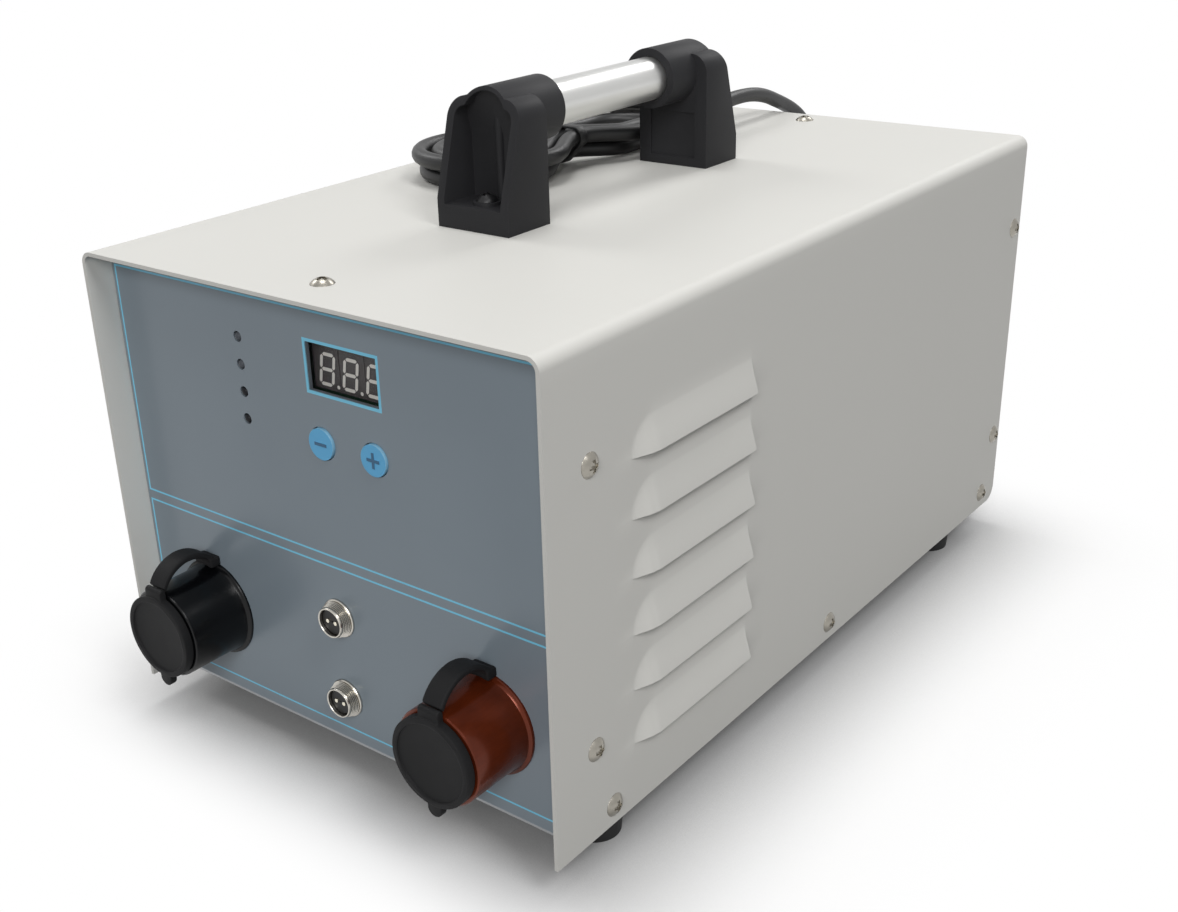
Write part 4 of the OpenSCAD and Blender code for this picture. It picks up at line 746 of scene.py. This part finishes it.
# %% Sockets
ebony = finish("black moulding", linear(7, 8, 10), 0.24, vary=0.2, grain_mm=1.5, grain=0.05, corner_mm=0,
               coat=0.05, shine=0.25)
brown = finish("brown moulding", linear(112, 45, 19), 0.24, metal=0.4, vary=0.18, blotch_mm=12, grain_mm=1.2,
               grain=0.06, stretch=(1, 8, 1), corner_mm=0, coat=0.1, tint=linear(70, 26, 11), shine=0.25)
socket_x, socket_z, socket_sides = 72, 40, 96
barrel = [(10.1, -13.9), (13.0, -13.9), (13.0, 0.0), (20.5, 0.0), (20.5, 0.8), (20.3, 1.1), (19.7, 1.4),
          (19.2, 1.9), (18.85, 3.0), (18.6, 5.0), (18.5, 8.0), (18.5, 26.2), (18.35, 26.7), (17.9, 27.0),
          (15.3, 27.0), (14.9, 26.8), (14.8, 26.3), (14.8, 7.0), (10.1, 7.0)]
turned("black_barrel", barrel, -socket_x, socket_z, ebony, ("black_socket",), socket_sides)
turned("red_barrel", barrel, socket_x, socket_z, brown, ("red_socket",), socket_sides)
print("two barrels turned")

# %% Caps and straps
rubber = finish("cap rubber", linear(30, 30, 31), 0.6, vary=0.14, blotch_mm=9, grain_mm=0.5, grain=0.25,
                corner_mm=0, shine=0.14)
for which in ("black", "red"):
    rounded(f"{which}_lid", f"{which}_cap", f"{which}_lid", rubber, 0.5)
    tether = rounded(f"{which}_tether", f"{which}_strap", "case", rubber, 0.3)
    skin = tether.modifiers.new("skin", "REMESH")
    skin.mode = "VOXEL"
    skin.voxel_size = 0.35 * MM
    skin.use_smooth_shade = True
    relax = tether.modifiers.new("relax", "SMOOTH")
    relax.factor = 0.5
    relax.iterations = 30
print("sockets capped")

# %% [markdown]
# ## Round connectors
# The control connectors are nickel-plated brass with a fine thread, and they are turned as well. The
# thread's ridges are drawn in the profile: it is the honest way to get the bright and dark rings that
# the eye reads as a thread.

# %% Threaded connectors
nickel = finish("nickel plate", linear(196, 192, 184), 0.24, metal=1.0, vary=0.06, grain_mm=0.5, grain=0.08,
                corner_mm=0)
insulator = finish("insert moulding", linear(14, 14, 15), 0.4, vary=0.2, blotch_mm=4, grain=0.1, corner_mm=0,
                   shine=0.35)
ridges, pitch, ridge_h, taper, first_crest, first_root = 6, 0.62, 0.3, 0.19, 7.2, 1.3
root_end, crest_start, crest_end = 0.12, 0.3, 0.44
thread = [(4.7, -12.0), (6.0, -12.0), (6.0, 0.0), (7.6, 0.0), (7.8, 0.2), (7.8, 0.9), (7.5, 1.2)]
for i in range(ridges):
    crest, out = first_crest - taper * i, first_root + pitch * i
    root = crest - ridge_h
    thread += [(root, out), (root, out + root_end), (crest, out + crest_start), (crest, out + crest_end)]
thread += [(6.1, 5.2), (5.9, 5.5), (5.5, 5.5), (5.35, 5.3), (5.3, 2.0), (4.7, 2.0)]
heart = [(0.4, 2.2), (0.4, 3.9), (4.9, 3.9), (5.25, 3.6), (5.25, 2.2)]
for which, height in (("upper", 58), ("lower", 23)):
    turned(f"{which}_thread", thread, 0, height, nickel, (f"{which}_connector",))
    turned(f"{which}_insert", heart, 0, height, insulator, ("connector_inserts",))
print("two threaded connectors")

# %% [markdown]
# ## Everything else
# The feet, screws, rear panel and inner pieces keep their solids. Each still gets a finish of its
# own: plated steel, turned brass, circuit board, varnished core, shrink sleeve and so on.

# %% Metal finishes
wear(powder.copy(), "rear_panel")
wear(finish("zinc plate", linear(168, 170, 172), 0.38, metal=1.0, vary=0.1, blotch_mm=14, grain=0.1),
     "base_tray", "capacitor_clamps")
wear(finish("bright screws", linear(206, 203, 196), 0.26, metal=1.0, vary=0.08, blotch_mm=3, grain_mm=0.4,
            grain=0.1, corner_mm=0.25), "foot_screws", "fan_screws", "fan_guard")
wear(finish("dull screws", linear(158, 154, 145), 0.3, metal=1.0, vary=0.2, blotch_mm=2, grain_mm=0.4,
            grain=0.15, corner_mm=0.25), "cover_screws")
wear(finish("blackened screws", linear(30, 30, 32), 0.4, metal=0.3, vary=0.15, blotch_mm=3, grain_mm=0.4,
            grain=0.1, corner_mm=0.25), "handle_screws")
wear(finish("turned brass", linear(206, 172, 98), 0.3, metal=1.0, vary=0.1, blotch_mm=8, grain_mm=0.3,
            grain=0.1), "board_posts", "black_contact", "red_contact", "earth_stud", "plug_pins")
wear(finish("gilt pins", linear(226, 220, 204), 0.2, metal=1.0, vary=0.05, blotch_mm=2, grain_mm=0.3,
            grain=0.05), "connector_pins")
wear(nickel.copy(), "panel_nuts")
wear(finish("bare copper", linear(196, 118, 84), 0.34, metal=1.0, vary=0.15, blotch_mm=9, grain_mm=0.3,
            grain=0.1, stretch=(1, 30, 1)), "capacitor_bars")
wear(finish("extruded aluminium", linear(188, 190, 192), 0.4, metal=1.0, vary=0.06, grain_mm=0.3, grain=0.15,
            stretch=(1, 40, 1)), "heat_sink", "discharge_resistor")
wear(finish("varnished core", linear(72, 70, 68), 0.5, metal=0.6, vary=0.2, blotch_mm=8, grain_mm=0.5,
            grain=0.5, stretch=(0.6, 60, 60)), "transformer_core")
print("metals done")

# %% Rubber, plastic, board and winding
wear(finish("foot rubber", linear(26, 26, 27), 0.7, vary=0.2, blotch_mm=6, grain=0.25), "rubber_feet")
wear(finish("black moulding, matt", linear(24, 24, 26), 0.55, vary=0.2, blotch_mm=10, grain=0.2),
     "button_switches", "socket_nuts", "fan_frame", "fan_rotor", "fuse_body", "fuse_cap", "cable_gland",
     "thyristor_module", "rectifier_bridge")
wear(finish("black moulding, gloss", linear(18, 18, 20), 0.24, vary=0.15, blotch_mm=12, grain=0.04,
            coat=0.2), "switch_body", "power_rocker")
wear(finish("circuit board", linear(20, 74, 46), 0.38, vary=0.2, blotch_mm=5, grain_mm=0.9, grain=0.2),
     "display_board", "control_board")
wear(finish("shrink sleeve", linear(30, 36, 66), 0.3, vary=0.12, blotch_mm=20, grain=0.06, coat=0.2),
     "capacitors")
wear(finish("taped winding", linear(150, 92, 44), 0.5, vary=0.15, blotch_mm=10, grain_mm=1.0, grain=0.4,
            stretch=(12, 12, 0.6)), "transformer_coil")
bare = [n for n, o in solid.items() if not o.data.materials or not o.data.materials[0].use_nodes]
print("solids without a finish:", bare)

# %% [markdown]
# ## Floor and light
# A product photograph has a pale floor that fades into white and big soft lamps. The floor is a
# sheet that keeps the shadow, and near the case its colour also darkens with ambient occlusion: a
# painted contact shadow. Rays from the camera see it fade into white with the distance from the case.
# One lamp overhead and two softboxes, in front and at the right, give the lid, front and side their
# levels of light. Two weaker lamps keep the left side and the rear readable.

# %% Floor
floor_half = 6.0
bm = bmesh.new()
bmesh.ops.create_grid(bm, x_segments=8, y_segments=8, size=floor_half)
mesh = bpy.data.meshes.new("studio_floor")
bm.to_mesh(mesh)
bm.free()
floor = bpy.data.objects.new("studio_floor", mesh)
bpy.context.scene.collection.objects.link(floor)
print("floor laid")


# %% Paper that fades into white
def ray(maker, kind):
    """1 for rays of a kind, such as Camera or Glossy, and 0 for others."""
    return maker.node("ShaderNodeLightPath", out=f"Is {kind} Ray")


# The painted contact shadow reaches about 70 mm from the case and darkens the paper down to 0.17.
painted_shadow_reach, painted_shadow_tone, bounce_tone = 0.07, (0.17, 0.17, 0.17), (0.12, 0.12, 0.12)
fade_mid_y, fade_half_y, fade_half, fade_pace_y, shadow_share = 0.02, 0.173, 0.055, 1.7, 0.97
ground = bpy.data.materials.new("studio paper")
ground.use_nodes = True
tree = ground.node_tree
tree.nodes.clear()
maker = Flow(tree)
seen = ray(maker, "Camera").at_least(ray(maker, "Glossy")).at_least(ray(maker, "Transmission"))
# Painted contact shadow: for camera rays the paper's colour darkens with ambient occlusion under and beside
# the case, on top of the real shadow.
painted_shadow_ao = maker.node("ShaderNodeAmbientOcclusion", {"samples": 8}, {"Distance": painted_shadow_reach}, out="AO")
tone = seen.blend(bounce_tone, painted_shadow_ao.blend(painted_shadow_tone, (1.0, 1.0, 1.0)))
paper = maker.node("ShaderNodeBsdfDiffuse", None, {"Color": tone})
white = maker.node("ShaderNodeEmission", None, {"Color": (1, 1, 1), "Strength": 1.0})
spot = maker.node("ShaderNodeTexCoord", out="Object")
beside = (abs(spot.axis("X")) - half_w).at_least(0.0)
beyond = fade_pace_y * (abs(spot.axis("Y") - fade_mid_y) - fade_half_y).at_least(0.0)
away = maker.maths("SQRT", beside * beside + beyond * beyond)
near = away.below(fade_half, fade_half)
mixed = maker.node("ShaderNodeMixShader", None, {0: seen * (1 - shadow_share * near), 1: paper, 2: white})
maker.feed(tree.nodes.new("ShaderNodeOutputMaterial").inputs["Surface"], mixed)
floor.data.materials.append(ground)
print("paper fades out", round(2 * fade_half / MM), "mm from the case's sides")

# %% Sky
sky_strength, mirror_share = 0.16, 0.75
world = bpy.data.worlds.new("studio")
bpy.context.scene.world = world
world.use_nodes = True
tree = world.node_tree
tree.nodes.clear()
maker = Flow(tree)
seen = ray(maker, "Camera").at_least(ray(maker, "Transmission"))
seen = seen.at_least(mirror_share * ray(maker, "Glossy"))
sky = maker.node("ShaderNodeBackground", None, {"Color": (1, 1, 1), "Strength": sky_strength})
backdrop = maker.node("ShaderNodeBackground", None, {"Color": (1, 1, 1), "Strength": 1.0})
both = maker.node("ShaderNodeMixShader", None, {0: seen, 1: sky, 2: backdrop})
maker.feed(tree.nodes.new("ShaderNodeOutputWorld").inputs["Surface"], both)
print("sky made")

# %% Lamps
aim = Vector((0, 0, 0.1))


def lamp(name, at, size, power):
    """A square softbox that looks at the machine's middle."""
    light = bpy.data.lights.new(name, "AREA")
    light.shape = "RECTANGLE"
    light.size, light.size_y = size, size
    light.energy = power
    holder = bpy.data.objects.new(name, light)
    holder.location = at
    holder.rotation_mode = "QUATERNION"
    holder.rotation_quaternion = (aim - Vector(at)).to_track_quat("-Z", "Y")
    bpy.context.scene.collection.objects.link(holder)


lamp("overhead", (-0.35, 0.25, 2.9), 1.0, 20)
lamp("front_softbox", (1.3, -2.3, 1.5), 1.2, 38)
lamp("side_softbox", (2.0, -0.6, 2.6), 0.9, 27)
lamp("left_softbox", (-2.4, 0.0, 2.0), 1.0, 16)
lamp("rear_softbox", (0.1, 2.4, 2.0), 1.0, 16)
bpy.context.scene.view_settings.view_transform = "Standard"
print("lit")
